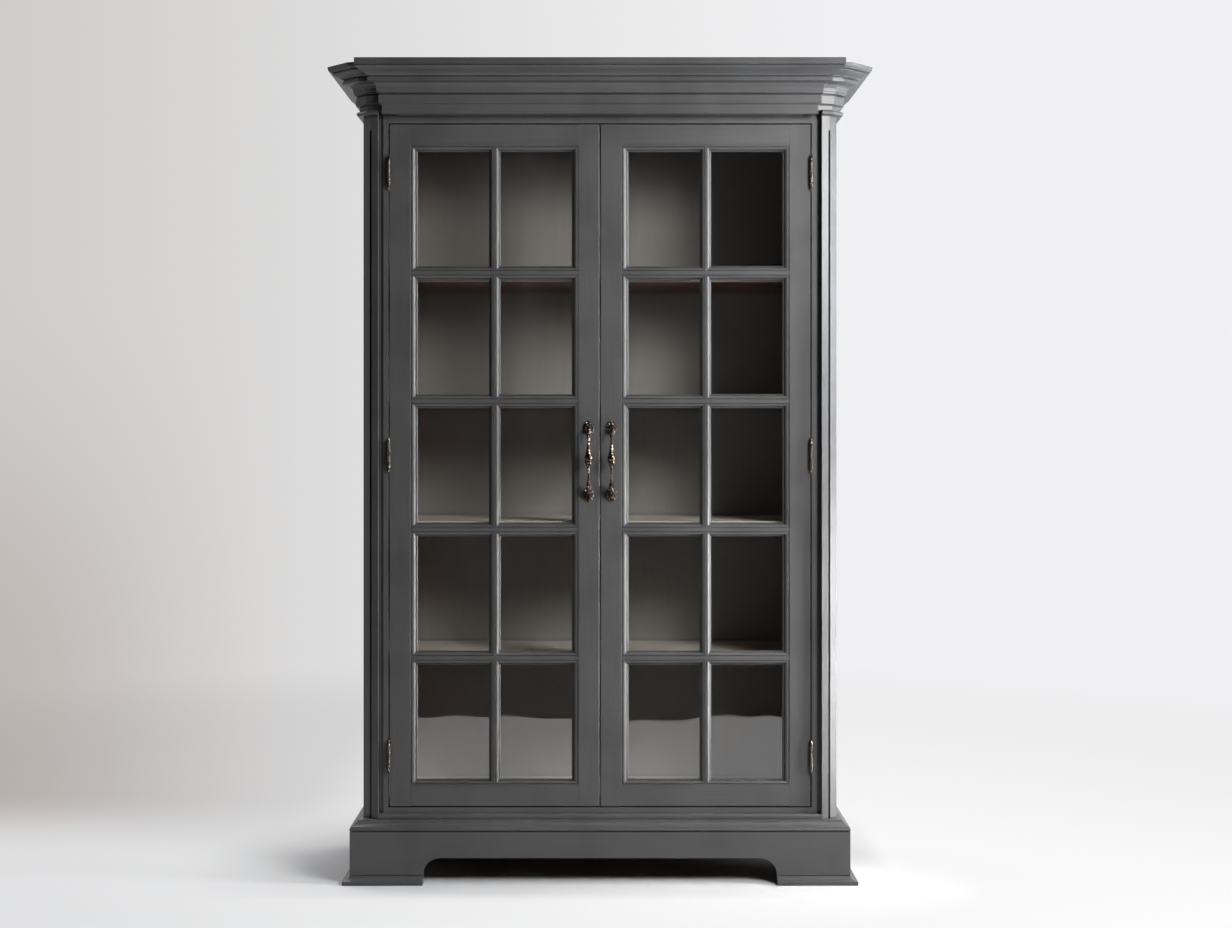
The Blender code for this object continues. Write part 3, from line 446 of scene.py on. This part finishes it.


# Matt linings, and shelf boards painted cream above and left bare below, with painted shade
# darkening their corners
lining = {"colour": shade(162, 161, 160), "deep": shade(147, 145, 143), "roughness": 0.62,
          "grimeAndPaintedLight": 0.4}
shelfPaint = {"colour": shade(244, 241, 230), "deep": shade(232, 227, 214), "roughness": 0.42,
              "grimeAndPaintedLight": 0.12}
board = {
    "cornerShadeTone": shade(70, 58, 48), "cornerReach": 0.03, "corner": (0.7, 0.3), "bareBelow": -0.7,
    "strokes": 200, "strokesAlong": 5, "clouds": 5.0, "scuffs": 60.0, "brushStroke": 0.0002,
}


def mattBoard(name, values, grain):
    finish = newFinish(name)
    place = finish.place()
    fine, long = board["strokes"], board["strokesAlong"]
    scale = (fine, fine, long) if grain == "upright" else (long, fine, fine)
    stroke = finish.noise(finish.stretched(place, scale), 1.0, 4.0, 0.6)
    cloud = finish.noise(place, board["clouds"], 4.0, 0.55)
    scuff = finish.noise(place, board["scuffs"], 4.0, 0.65)
    # painted shade: corners and hollows are darkened towards a brown by occlusion
    corner = finish.openness(6, board["cornerReach"]).rise(*board["corner"])
    colour = finish.blend(stroke.rise(0.3, 0.7) * 0.35, values["colour"], values["deep"])
    colour = finish.blend(cloud.rise(0.4, 0.8) * 0.4, colour, values["deep"])
    colour = finish.blend(corner * values["grimeAndPaintedLight"], colour, board["cornerShadeTone"])
    facing = finish.axes(finish.trueNormal())[2]
    colour = finish.blend(facing.below(board["bareBelow"]), colour, woodColour(finish, place))
    gloss = values["roughness"] + (scuff - 0.5) * 0.15
    normal = finish.bump(stroke + scuff * 0.5, board["brushStroke"], 0.4)
    skin = finish.add("ShaderNodeBsdfPrincipled", None, {
        "Base Color": colour, "Roughness": gloss, "Normal": normal})
    return finish.close(skin)


dress(mattBoard("greyLining", lining, "upright"), "grey_lining", "back_panel")
dress(mattBoard("greyCeiling", lining, "level"), "grey_lining", "top_board")
dress(mattBoard("creamShelves", shelfPaint, "level"), "cream_paint",
      "bottom_board", *[f"shelf_{number}" for number in range(1, 5)])
print("linings and shelves painted")


# Old drawn glass: clear, a little uneven, and bright where it mirrors the floor
glass = {"tint": shade(241, 239, 237), "passing": shade(243, 242, 240), "ior": 1.85,
         "wave": 0.0004, "waveScale": (5, 5, 9)}


def paneGlass():
    finish = newFinish("clearGlass")
    place = finish.place()
    ripple = finish.noise(finish.stretched(place, glass["waveScale"]), 1.0, 1.0, 0.4)
    normal = finish.bump(ripple, glass["wave"])
    skin = finish.add("ShaderNodeBsdfPrincipled", None, {
        "Base Color": glass["tint"], "Roughness": 0.0, "IOR": glass["ior"],
        "Transmission Weight": 1.0, "Normal": normal})
    passing = finish.rays("Shadow").larger(finish.rays("Diffuse"))
    clear = finish.add("ShaderNodeBsdfTransparent", None, {"Color": glass["passing"]})
    return finish.close(finish.mixed(passing, skin, clear))


dress(paneGlass(), "clear_glass", *[name for name in nodes if "_pane_" in name])
print("glass set in the doors")


# Aged bronze: dark in its hollows, rubbed bright on its edges, with painted highlights on those
# edges and painted glints on the domed high places
bronze = {
    "dark": shade(22, 17, 16), "warm": shade(50, 38, 32), "rubbedAndGlint": shade(226, 210, 192),
    "roughness": 0.25, "softEdge": 0.0005, "crevice": 0.0022, "grimeAndPaintedLight": 420.0, "glintSpots": 230.0,
    "clouds": 90.0, "glintShare": 0.5, "relief": 0.00012,
}


def agedBronze():
    finish = newFinish("agedBronze")
    place = finish.place()
    softNormal, turn = finish.softEdges(bronze["softEdge"])
    open_ = finish.openness(8, bronze["crevice"])
    grimeAndPaintedLight = finish.noise(place, bronze["grimeAndPaintedLight"], 4.0, 0.65)
    glintSpots = finish.noise(place, bronze["glintSpots"], 2.0, 0.5)
    cloud = finish.noise(place, bronze["clouds"], 3.0, 0.6)
    high = open_.rise(0.6, 0.95) * cloud.rise(0.3, 0.6)
    colour = finish.blend(high, bronze["dark"], bronze["warm"])
    # rubbed edges that are also painted highlights, and painted glints on domed high places
    rubbedAndGlintEdges = turn.rise(0.015, 0.14) * grimeAndPaintedLight.rise(0.35, 0.55)
    glintDomes = open_.rise(0.86, 0.97) * glintSpots.rise(0.55, 0.60) * bronze["glintShare"]
    colour = finish.blend(rubbedAndGlintEdges.larger(glintDomes), colour, bronze["rubbedAndGlint"])
    gloss = bronze["roughness"] + (grimeAndPaintedLight - 0.5) * 0.25
    normal = finish.bump(grimeAndPaintedLight, bronze["relief"], 0.6, softNormal)
    skin = finish.add("ShaderNodeBsdfPrincipled", None, {
        "Base Color": colour, "Metallic": 1.0, "Roughness": gloss, "Normal": normal})
    return finish.close(skin)


bronzeFinish = agedBronze()


# Bow pull: two cast rosettes and a turned bow with a bulb, one skin. Lengths are in metres,
# the tables are shares: of the spacing and the bulb, or of the rosette's radius and depth
pull = {
    "spacing": 0.169, "height": 1.0634, "offset": 0.029, "standOff": 0.030, "bulb": 0.0105,
    "rosetteRadius": 0.0141, "rosetteStretch": 1.38, "rosetteDepth": 0.0090, "columns": 32,
    "bossColumns": 40, "twist": 150, "grain": 0.00042, "backPlane": -0.0004,
    "bowPower": 0.75, "bowSteps": 96, "profileStep": 0.0022,
}
bowTable = (
    (0.0, 0.42), (0.10, 0.40), (0.125, 0.52), (0.14, 0.44), (0.15, 0.28), (0.19, 0.23),
    (0.22, 0.24), (0.26, 0.31), (0.30, 0.42), (0.34, 0.55), (0.365, 0.63), (0.372, 0.76),
    (0.388, 0.80), (0.398, 0.70), (0.408, 0.82), (0.425, 0.95), (0.45, 1.02), (0.478, 1.0),
    (0.494, 0.84), (0.504, 0.94), (0.522, 0.90), (0.542, 0.76), (0.56, 0.56), (0.574, 0.38),
    (0.584, 0.44), (0.596, 0.30), (0.63, 0.23), (0.70, 0.20), (0.765, 0.22), (0.785, 0.34),
    (0.80, 0.46), (0.812, 0.34), (0.83, 0.46), (0.86, 0.64), (0.885, 0.64), (0.905, 0.50),
    (1.0, 0.44),
)
bowFlutes = ((0.498, 0.572, 0.80), (0.27, 0.366, 0.86), (0.815, 0.90, 0.80), (0.112, 0.14, 0.80))
bossTable = (
    (0, 0), (0.80, 0), (0.93, 0.10), (0.93, 0.26), (0.80, 0.42), (0.50, 0.58), (0, 0.62),
)
petalRings = (
    {"count": 10, "from": 0.52, "length": 0.47, "width": 0.44, "depth": 0.36, "lift": 0.42},
    {"count": 6, "from": 0.16, "length": 0.46, "width": 0.46, "depth": 0.40, "lift": 0.66},
)
beads = {"size": 0.17, "depth": 0.3, "rings": ((1, 0.0, 0.80, 0.0), (5, 0.17, 0.78, 0.0),
                                               (10, 0.60, 0.50, 0.5))}


def bowLine():
    # the bow's middle line from the top rosette to the bottom one, forward of the door
    line = []
    root = pull["rosetteDepth"] * 0.45
    for i in range(pull["bowSteps"] + 1):
        turn = math.pi * i / pull["bowSteps"]
        drop = math.copysign(abs(math.cos(turn)) ** pull["bowPower"], math.cos(turn))
        reach = abs(math.sin(turn)) ** pull["bowPower"]
        line.append(Vector((0, -root - (pull["standOff"] - root) * reach,
                            drop * pull["spacing"] / 2)))
    return line


def castBow():
    line = bowLine()
    lengths = [0.0]
    for here, there in zip(line, line[1:]):
        lengths.append(lengths[-1] + (there - here).length)

    def lengthAt(share):
        # how far along the line the bow has come down by this share of the spacing
        height = (0.5 - share) * pull["spacing"]
        for i, (here, there) in enumerate(zip(line, line[1:])):
            if there.z <= height:
                part = (here.z - height) / max(here.z - there.z, 1e-9)
                return lengths[i] + part * (lengths[i + 1] - lengths[i])
        return lengths[-1]

    profile = [(0.0, 0.0)]
    profile += [(pull["bulb"] * radius, lengthAt(share)) for share, radius in bowTable]
    profile.append((0.0, lengths[-1]))
    filled = [profile[0]]
    for (r0, z0), (r1, z1) in zip(profile, profile[1:]):
        parts = max(1, math.ceil((z1 - z0) / pull["profileStep"]))
        filled += [(r0 + (r1 - r0) * i / parts, z0 + (z1 - z0) * i / parts)
                   for i in range(1, parts + 1)]
    bow = turnedForm("pullBow", filled, pull["columns"])
    for low, high, share in bowFlutes:
        fluted(bow, pull["columns"], lengthAt(low), lengthAt(high), share)
    finishStep(bow, "twist", "SIMPLE_DEFORM", deform_method="TWIST", deform_axis="Z",
               angle=math.radians(pull["twist"]))
    guide = bpy.data.curves.new("bowGuide", "CURVE")
    guide.dimensions = "3D"
    guide.twist_mode = "MINIMUM"
    spline = guide.splines.new("POLY")
    spline.points.add(len(line) - 1)
    for point, spot in zip(spline.points, line):
        point.co = (*spot, 1)
    rail = bpy.data.objects.new("bowGuide", guide)
    bpy.context.scene.collection.objects.link(rail)
    finishStep(bow, "bend", "CURVE", object=rail, deform_axis="POS_Z")
    bpy.data.objects.remove(rail)
    return bow


def petal(name, length, width, depth):
    # a leaf with a hollow down its middle, its root at the origin, pointing up
    bpy.ops.object.select_all(action="DESELECT")
    bpy.ops.mesh.primitive_uv_sphere_add(segments=12, ring_count=8, radius=0.5,
                                         location=(0, 0, 0.5))
    leaf = bpy.context.active_object
    leaf.name = name
    bpy.ops.object.transform_apply(location=True, rotation=True, scale=True)
    edit(leaf)
    bpy.ops.mesh.select_all(action="SELECT")
    bpy.ops.transform.resize(value=(width, depth, length), center_override=(0, 0, 0))
    pickPoints(leaf, lambda spot: abs(spot.x) < width * 0.1 and spot.y < -depth * 0.1)
    bpy.ops.transform.translate(value=(0, depth * 0.34, 0))  # the hollow
    pickPoints(leaf, lambda spot: spot.z > length * 0.8)
    bpy.ops.transform.translate(value=(0, depth * 0.25, 0))  # the tip, bent back
    bpy.ops.object.mode_set(mode="OBJECT")
    return leaf


def castRosette():
    # a lobed boss with two rings of leaves, beads between them and a seeded middle
    wide, deep = pull["rosetteRadius"], pull["rosetteDepth"]
    boss = turnedForm("rosetteBoss", [(wide * radius, deep * height)
                                      for radius, height in bossTable], pull["bossColumns"])
    fluted(boss, pull["bossColumns"], 0, deep, 0.90)
    boss.data.transform(Matrix.Rotation(math.pi / 2, 4, "X"))
    things = [boss]
    for number, ring in enumerate(petalRings):
        leaf = petal(f"petal{number}", wide * ring["length"], wide * ring["width"],
                     deep * ring["depth"])
        for k in range(ring["count"]):
            turn = math.tau * (k + 0.5 * number) / ring["count"]
            place = (moved(0, -deep * ring["lift"], 0) @ Matrix.Rotation(turn, 4, "Y")
                     @ moved(0, 0, wide * ring["from"]))
            things.append(copyOf(leaf, "petalCopy", place))
        bpy.data.objects.remove(leaf)
    size = beads["size"]
    bead = petal("bead", wide * size, wide * size, deep * beads["depth"])
    for count, reach, lift, shift in beads["rings"]:
        for k in range(count):
            turn = math.tau * (k + shift) / count
            place = moved(wide * reach * math.sin(turn), -deep * lift,
                          wide * (reach * math.cos(turn) - size / 2))
            things.append(copyOf(bead, "beadCopy", place))
    bpy.data.objects.remove(bead)
    rosette = joined(things, "castRosette")
    rosette.data.transform(Matrix.Diagonal((1, 1, pull["rosetteStretch"], 1)))
    return rosette


def castPull():
    rosette = castRosette()
    lower = copyOf(rosette, "castRosetteLower",
                   moved(0, 0, -pull["spacing"] / 2) @ Matrix.Rotation(math.pi, 4, "Y"))
    rosette.data.transform(moved(0, 0, pull["spacing"] / 2))
    cast = joined([castBow(), rosette, lower], "castPull")
    finishStep(cast, "skin", "REMESH", mode="VOXEL", voxel_size=pull["grain"])
    finishStep(cast, "soften", "SMOOTH", factor=0.5, iterations=2)
    edit(cast)
    cutAcross((0, pull["backPlane"], 0), (0, 1, 0), clear_outer=True, use_fill=True)
    bpy.ops.object.mode_set(mode="OBJECT")
    bpy.ops.object.shade_smooth()
    return cast


def hangPulls():
    cast = castPull()
    for door, side in (("left", -1), ("right", 1)):
        thing = copyOf(cast, f"{door}_pull_cast",
                       moved(side * pull["offset"], doorFace, pull["height"]))
        thing.data.materials.clear()
        thing.data.materials.append(bronzeFinish)
        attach(thing, f"{door}_door")
        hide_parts(f"{door}_door_pull")
    bpy.data.objects.remove(cast)


hangPulls()
print("bow pulls cast and hung")


# Barrel hinges: carved knuckles and urn finials, with a screwed leaf in the gap of the door
hinge = {
    "places": {"bottom": 0.3147, "middle": 1.0792, "top": 1.7955}, "axis": 0.5356,
    "forward": 0.0056, "barrel": 0.0051, "length": 0.066, "knuckles": 5,
    "frameKnuckles": (0, 2, 4), "doorKnuckles": (1, 3), "gap": 0.0004, "pin": 0.0022,
    "bore": 0.0025, "columns": 32, "lobeShare": 0.80, "lobeRings": (0.13, 0.20, 0.30, 0.37),
    "lobeEnds": (0.11, 0.39), "lobeWind": 170, "finial": 0.0125, "finialFlutes": (0.28, 0.58),
    "finialShare": 0.78, "leaf": 0.0010, "leafDepth": 0.018, "leafBevel": 0.0002,
    "toothInto": 0.0012, "clear": 0.0003, "screw": 0.0026, "slotHalf": 0.0003,
    "slotDepth": 0.00035, "slotTurn": 60,
}
screwPlaces = ((-0.024, 0.58), (0.0, 0.36), (0.024, 0.58))  # heights, and shares of the leaf
finialTable = (
    (0.0, 1.0), (0.20, 0.98), (0.34, 0.93), (0.38, 0.86), (0.32, 0.79), (0.28, 0.75),
    (0.44, 0.72), (0.46, 0.67), (0.36, 0.63), (0.50, 0.56), (0.68, 0.46), (0.78, 0.36),
    (0.80, 0.30), (0.66, 0.24), (0.62, 0.21), (0.84, 0.17), (0.94, 0.11), (0.90, 0.05),
    (0.80, 0.02),
)
knuckleTable = (
    (0.88, 0.0), (0.96, 0.02), (0.96, 0.06), (0.80, 0.08), (0.92, 0.13), (1.0, 0.20),
    (1.0, 0.30), (0.92, 0.37), (0.80, 0.43), (0.94, 0.46),
)
screwTable = (  # shares of the head's radius, and heights in metres
    (0, -0.0006), (0.7, -0.0006), (1, -0.0001), (1.12, 0.00006), (1.02, 0.00008),
    (0.98, -0.00006), (0.90, 0.00008), (0, 0.0001),
)


def knuckleSpan(number):
    pitch = hinge["length"] / hinge["knuckles"]
    low = -hinge["length"] / 2 + number * pitch
    return low + hinge["gap"] / 2, low + pitch - hinge["gap"] / 2


def carvedKnuckle(low, high):
    # two carved swells with a ring between them and one at each end, from the top down
    table = list(knuckleTable)
    table += [(radius, 1.0 - share) for radius, share in reversed(knuckleTable)]
    return [(hinge["barrel"] * radius, high - (high - low) * share) for radius, share in table]


def carveLobes(thing, numbers):
    top, bottom = hinge["lobeEnds"]
    for number in numbers:
        low, high = knuckleSpan(number)
        span = high - low
        for start in (0.0, 0.5):
            fluted(thing, hinge["columns"], high - span * (start + bottom),
                   high - span * (start + top), hinge["lobeShare"])
            edit(thing)
            for level in hinge["lobeRings"]:
                # each ring of the swell turns further than the last, so that its lobes wind
                height = high - span * (start + level)
                pickPoints(thing, lambda spot: abs(spot.z - height) < span * 0.01
                           and math.hypot(spot.x, spot.y) > hinge["barrel"] * 0.6)
                bpy.ops.transform.rotate(value=math.radians(hinge["lobeWind"] * (level - 0.25)),
                                         orient_axis="Z", center_override=(0, 0, 0))
            bpy.ops.object.mode_set(mode="OBJECT")


def leafPlate(side, numbers):
    # the flat leaf, cut at the knuckles, with teeth drawn out to those that it carries
    inner = side * hinge["clear"] / 2
    root = hinge["forward"] + hinge["clear"]
    middle = inner + side * hinge["leaf"] / 2
    bpy.ops.object.select_all(action="DESELECT")
    bpy.ops.mesh.primitive_cube_add(size=1, location=(middle, root + hinge["leafDepth"] / 2, 0),
                                    scale=(hinge["leaf"], hinge["leafDepth"], hinge["length"]))
    plate = bpy.context.active_object
    bpy.ops.object.transform_apply(location=True, rotation=True, scale=True)
    edit(plate)
    bpy.ops.mesh.select_all(action="SELECT")
    bpy.ops.mesh.bevel(offset=hinge["leafBevel"], segments=1, affect="EDGES")
    for number in numbers:
        for edge in knuckleSpan(number):
            if abs(edge) < hinge["length"] / 2 - hinge["gap"]:
                cutAcross((0, 0, edge), (0, 0, 1))

    def toothRoot(spot, normal):
        if normal.y > -0.9:
            return False
        return any(low - near["touch"] < spot.z < high + near["touch"]
                   for low, high in map(knuckleSpan, numbers))
    pickFaces(plate, toothRoot)
    bpy.ops.mesh.extrude_region_move(TRANSFORM_OT_translate={
        "value": (0, -(root - hinge["barrel"] + hinge["toothInto"]), 0)})
    bpy.ops.object.mode_set(mode="OBJECT")
    things = [plate]
    screw = slottedScrew()
    for height, share in screwPlaces:
        # each slot points its own way
        turn = (Matrix.Rotation(-side * math.pi / 2, 4, "Y")
                @ Matrix.Rotation(height * hinge["slotTurn"], 4, "Z"))
        place = moved(inner, root + hinge["leafDepth"] * share, height)
        things.append(copyOf(screw, "screwCopy", place @ turn))
    bpy.data.objects.remove(screw)
    return joined(things, "leafPlate")


def slottedScrew():
    # a countersunk head, its face a hair under the leaf's, with a sunk rim and a slot
    size, half = hinge["screw"], hinge["slotHalf"]
    head = turnedForm("screwHead", [(size * radius, height) for radius, height in screwTable], 24)
    edit(head)
    for edge in (-half, half):
        cutAcross((edge, 0, 0), (1, 0, 0))
    pickFaces(head, lambda spot, normal: abs(spot.x) < half and normal.z > 0.6
              and abs(spot.y) < size * 0.85)
    bpy.ops.mesh.extrude_region_move(TRANSFORM_OT_translate={
        "value": (0, 0, -hinge["slotDepth"])})
    bpy.ops.object.mode_set(mode="OBJECT")
    return head


def castFrameLeaf():
    size, half = hinge["barrel"], hinge["length"] / 2
    finial = [(size * radius, half + hinge["finial"] * share) for radius, share in finialTable]
    profile = list(finial)
    for number in reversed(range(hinge["knuckles"])):
        low, high = knuckleSpan(number)
        if number in hinge["frameKnuckles"]:
            profile += carvedKnuckle(low, high)
        else:
            profile += [(hinge["pin"], high + hinge["gap"]), (hinge["pin"], low - hinge["gap"])]
    profile += [(radius, -height) for radius, height in reversed(finial)]
    barrel = turnedForm("frameBarrel", profile, hinge["columns"])
    carveLobes(barrel, hinge["frameKnuckles"])
    for side in (-1, 1):
        ends = sorted(side * (half + hinge["finial"] * share) for share in hinge["finialFlutes"])
        fluted(barrel, hinge["columns"], *ends, hinge["finialShare"])
    return joined([barrel, leafPlate(1, hinge["frameKnuckles"])], "castFrameLeaf")


def castDoorLeaf():
    things = []
    for number in hinge["doorKnuckles"]:
        low, high = knuckleSpan(number)
        drum = carvedKnuckle(low, high)
        ring = turnedForm("doorKnuckle", [(hinge["bore"], high)] + drum + [
            (hinge["bore"], low), (hinge["bore"], high)], hinge["columns"])
        carveLobes(ring, (number,))
        things.append(ring)
    return joined(things + [leafPlate(-1, hinge["doorKnuckles"])], "castDoorLeaf")


def hangHinges():
    frameLeaf, doorLeaf = castFrameLeaf(), castDoorLeaf()
    for thing in (frameLeaf, doorLeaf):
        takeUp(thing)
        bpy.ops.object.shade_smooth_by_angle(angle=math.radians(40))
    for door, side in (("left", -1), ("right", 1)):
        turn = Matrix.Rotation(math.pi, 4, "Y") if side < 0 else Matrix.Identity(4)
        for place, height in hinge["places"].items():
            spot = moved(side * hinge["axis"], doorFace - hinge["forward"], height)
            for leaf, kind, body in ((frameLeaf, "frame", "carcass"),
                                     (doorLeaf, "hinge", f"{door}_door")):
                thing = copyOf(leaf, f"{door}_{kind}_leaf_{place}_cast", spot @ turn)
                thing.data.materials.clear()
                thing.data.materials.append(bronzeFinish)
                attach(thing, body)
                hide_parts(f"{door}_door_{kind}_leaf_{place}")
    bpy.data.objects.remove(frameLeaf)
    bpy.data.objects.remove(doorLeaf)


hangHinges()
print("hinges cast and hung")


# Studio: a pale floor that runs into a pale room, with a dim room in front of the cabinet
room = {
    "left": shade(203, 201, 199), "right": shade(241, 241, 243), "shadowLowLeft": shade(189, 180, 177),
    "fillBack": (0.45, 0.45, 0.455, 1.0), "fillFront": (0.008, 0.008, 0.008, 1.0),
    "dark": shade(20, 19, 19), "haze": 0.004, "window": 0.035,
    "windowLeft": (-0.0405, -0.0375), "windowRight": (-0.028, -0.031),
    "across": (-0.44, 0.20), "lowFrom": (-0.85, -0.45), "lowTo": (-0.15, -0.36),
    "lowHeight": (0.08, -0.13),
}
ground = {
    "shadedNearLeft": shade(209, 210, 212), "litNearRight": shade(224, 224, 225),
    "marks": shade(205, 204, 203), "shadedCleanLeft": shade(236, 236, 237),
    "litCleanRight": shade(255, 255, 255), "bounce": shade(156, 156, 156),
    "edge": -2.85, "fade": (2.3, 4.6), "glow": 0.7, "glowFront": (-0.26, -0.38),
    "glowOpen": (0.75, 1.0), "glowRight": (0.69, 0.78), "shadeReach": 0.5,
    "cornerAcross": (-0.66, -0.96), "cornerBack": (0.1, 1.0), "size": 160, "drop": 0.0004,
    "meetFrom": -4.96, "meetHeight": 1.14,  # from this point its far tones run into the room's
}


def paleRoom(finish, side, height, where):
    # side runs from -1 at the left to 1 at the right, height is the slope above the horizon; the
    # room is painted darker to the left as though less lit, and a warm painted shadow lies low on
    # the left, where the cabinet's shadow falls
    colour = finish.blend(side.rise(*room["across"]), room["left"], room["right"])
    low = side.rise(*room["lowTo"]) * side.rise(*room["lowFrom"])
    low = low * height.rise(*room["lowHeight"]) * where
    return finish.blend(low, colour, room["shadowLowLeft"])


def studioWorld():
    world = bpy.data.worlds.new("studioRoom")
    bpy.context.scene.world = world
    finish = Finish(world)
    x, y, z = finish.axes(finish.add("ShaderNodeTexCoord", None, None, "Generated"))
    seen = finish.rays("Camera").larger(finish.rays("Transmission") * y.above(-0.05))
    pale = paleRoom(finish, x / y.size().larger(0.3), z, y.rise(0.6, 0.85))
    # what gloss and glass mirror from the front: a dim room with a narrow window at the left
    across = x / (y.size() + 0.05)
    window = across.rise(*room["windowLeft"]) * across.rise(*room["windowRight"])
    window = window * z.rise(-0.02, 0.02) * room["window"]
    haze = z.rise(0.0, 0.10) * z.rise(0.30, 0.12) * room["haze"]
    gleam = finish.blend(haze + window, shade(0, 0, 0), shade(255, 255, 255))
    mirrored = finish.blend(y.rise(0.1, -0.2), pale,
                            finish.blend(1.0, room["dark"], gleam, "ADD"))
    fill = finish.blend(y.rise(-0.25, 0.25), room["fillFront"], room["fillBack"])
    light = finish.blend(finish.rays("Glossy"), fill, mirrored)
    colour = finish.blend(seen, light, pale)
    finish.close(finish.add("ShaderNodeBackground", None, {"Color": colour, "Strength": 1.0}))


def studioFloor():
    bpy.ops.object.select_all(action="DESELECT")
    bpy.ops.mesh.primitive_plane_add(size=ground["size"], location=(0, 0, -ground["drop"]))
    floor = bpy.context.active_object
    floor.name = "studio_floor"
    bpy.ops.object.transform_apply(location=True, rotation=True, scale=True)
    finish = newFinish("paleFloor")
    place = finish.place()
    x, y, z = finish.axes(place)
    away = (y - ground["meetFrom"]).size().larger(1.5)
    pale = paleRoom(finish, x / away, -ground["meetHeight"] / away, y.rise(-0.6, 0.4))
    # painted shadow: the left-back of the floor, where the cabinet's shadow falls, takes the
    # room's darker and warmer tones
    corner = x.rise(*ground["cornerAcross"]) * y.rise(*ground["cornerBack"])
    # the matt floor that takes the shadow
    # painted light: the matt floor is darker to the left and lighter to the right, as the light
    # falls
    colour = finish.blend(x.rise(-1.4, 0.9), ground["shadedNearLeft"], ground["litNearRight"])
    marks = finish.noise(place, 3.0, 5.0, 0.6)
    colour = finish.blend(marks.rise(0.5, 0.8) * 0.12, colour, ground["marks"])
    colour = finish.blend(corner, colour, pale)
    colour = finish.blend(finish.rays("Diffuse"), colour, ground["bounce"])
    matt = finish.add("ShaderNodeBsdfPrincipled", None, {
        "Base Color": colour, "Roughness": 0.75, "Specular IOR Level": 0.2})
    # the clean glow that lies over it where nothing shades it, painted dimmer to the left and
    # brighter to the right as the light falls
    clean = finish.blend(x.rise(-1.5, 0.5), ground["shadedCleanLeft"], ground["litCleanRight"])
    clean = finish.blend(corner, clean, pale)
    lit = finish.add("ShaderNodeEmission", None, {"Color": clean, "Strength": 1.0})
    seen = finish.rays("Camera").larger(finish.rays("Transmission"))
    seen = seen.larger(finish.rays("Glossy"))
    open_ = finish.openness(8, ground["shadeReach"])
    glow = y.rise(*ground["glowFront"]).larger(open_.rise(*ground["glowOpen"]))
    glow = glow.larger(x.rise(*ground["glowRight"]))
    nearby = finish.mixed(seen * glow * ground["glow"], matt, lit)
    # the far floor, in the room's own tones, and its dark edge that the panes mirror
    wave = finish.noise(finish.stretched(place, (3, 0, 0)), 1.0, 2.0, 0.5)
    beyond = y.below(wave * 0.04 + (ground["edge"] - 0.02)) * finish.rays("Glossy")
    reach = finish.vectors("LENGTH", place, None, "Value")
    far = reach.rise(*ground["fade"]) * seen
    distant = finish.add("ShaderNodeEmission", None, {
        "Color": finish.blend(beyond, pale, room["dark"]), "Strength": 1.0})
    floor.data.materials.append(finish.close(finish.mixed(far.larger(beyond), nearby, distant)))


studioWorld()
studioFloor()

lamps = (
    {"name": "key", "at": (1.85, -2.46, 2.35), "aim": (0.0, -0.1, 1.05), "size": (1.1, 0.8),
     "power": 53, "colour": (1.0, 0.99, 0.98)},
    {"name": "keySide", "at": (1.78, -1.71, 2.0), "aim": (0.0, -0.1, 1.05), "size": (0.8, 0.8),
     "power": 40, "colour": (1.0, 0.995, 0.985)},
    {"name": "windowSide", "at": (1.08, -0.28, 1.60), "aim": (0.3, -0.17, 1.56),
     "size": (0.14, 0.8), "power": 6.5, "spread": 120, "colour": (0.90, 0.95, 1.0)},
    {"name": "lowSide", "at": (1.15, -0.30, 0.60), "aim": (0.3, -0.17, 0.56),
     "size": (0.16, 0.8), "power": 7.5, "spread": 90, "colour": (1.0, 0.99, 0.98)},
    {"name": "windowFar", "at": (3.6, -0.75, 0.95), "aim": (0.0, -0.17, 0.9), "size": (0.6, 1.5),
     "power": 6, "spread": 60, "colour": (0.93, 0.97, 1.0)},
    {"name": "skyBehind", "at": (0.3, 1.5, 3.4), "aim": (0.3, 1.4, 0.0), "size": (5.0, 2.0),
     "power": 45, "colour": (1.0, 1.0, 1.0)},
    {"name": "skyLeft", "at": (-2.2, 1.3, 3.3), "aim": (-2.3, 1.3, 0.0), "size": (2.0, 2.4),
     "power": 26, "colour": (1.0, 1.0, 1.0)},
)


def hangLamp(values):
    data = bpy.data.lights.new(values["name"], "AREA")
    data.shape, data.energy, data.color = "RECTANGLE", values["power"], values["colour"]
    data.size, data.size_y = values["size"]
    data.spread = math.radians(values.get("spread", 180))
    lamp = bpy.data.objects.new(values["name"], data)
    bpy.context.scene.collection.objects.link(lamp)
    lamp.location = values["at"]
    lamp.visible_camera = False
    line = Vector(values["aim"]) - Vector(values["at"])
    lamp.rotation_euler = line.to_track_quat("-Z", "Y").to_euler()


for values in lamps:
    hangLamp(values)

# The camera looks straight at the doors. Its frame and middle are in the photograph's pixels,
# and pitch is the size of a pixel at one metre
lensView = {
    "away": 4.8, "height": 1.1414, "frame": (1232, 928), "middle": (600.0, 430.35),
    "pitch": 0.0005292 / 1.001, "sensor": 36, "farEnd": 400,
}


def standCamera():
    wide, tall = lensView["frame"]
    data = bpy.data.cameras.new("studioCamera")
    data.sensor_width = lensView["sensor"]
    data.lens = lensView["sensor"] / wide / lensView["pitch"]
    data.shift_x = (wide / 2 - lensView["middle"][0]) / wide
    data.shift_y = -(tall / 2 - lensView["middle"][1]) / wide
    data.clip_end = lensView["farEnd"]
    camera = bpy.data.objects.new("studioCamera", data)
    bpy.context.scene.collection.objects.link(camera)
    camera.location = (0, doorFace - lensView["away"], lensView["height"])
    camera.rotation_euler = (math.radians(90), 0, 0)
    bpy.context.scene.camera = camera


standCamera()
bpy.context.scene.view_settings.view_transform = "Standard"
print("studio, lamps and camera set")
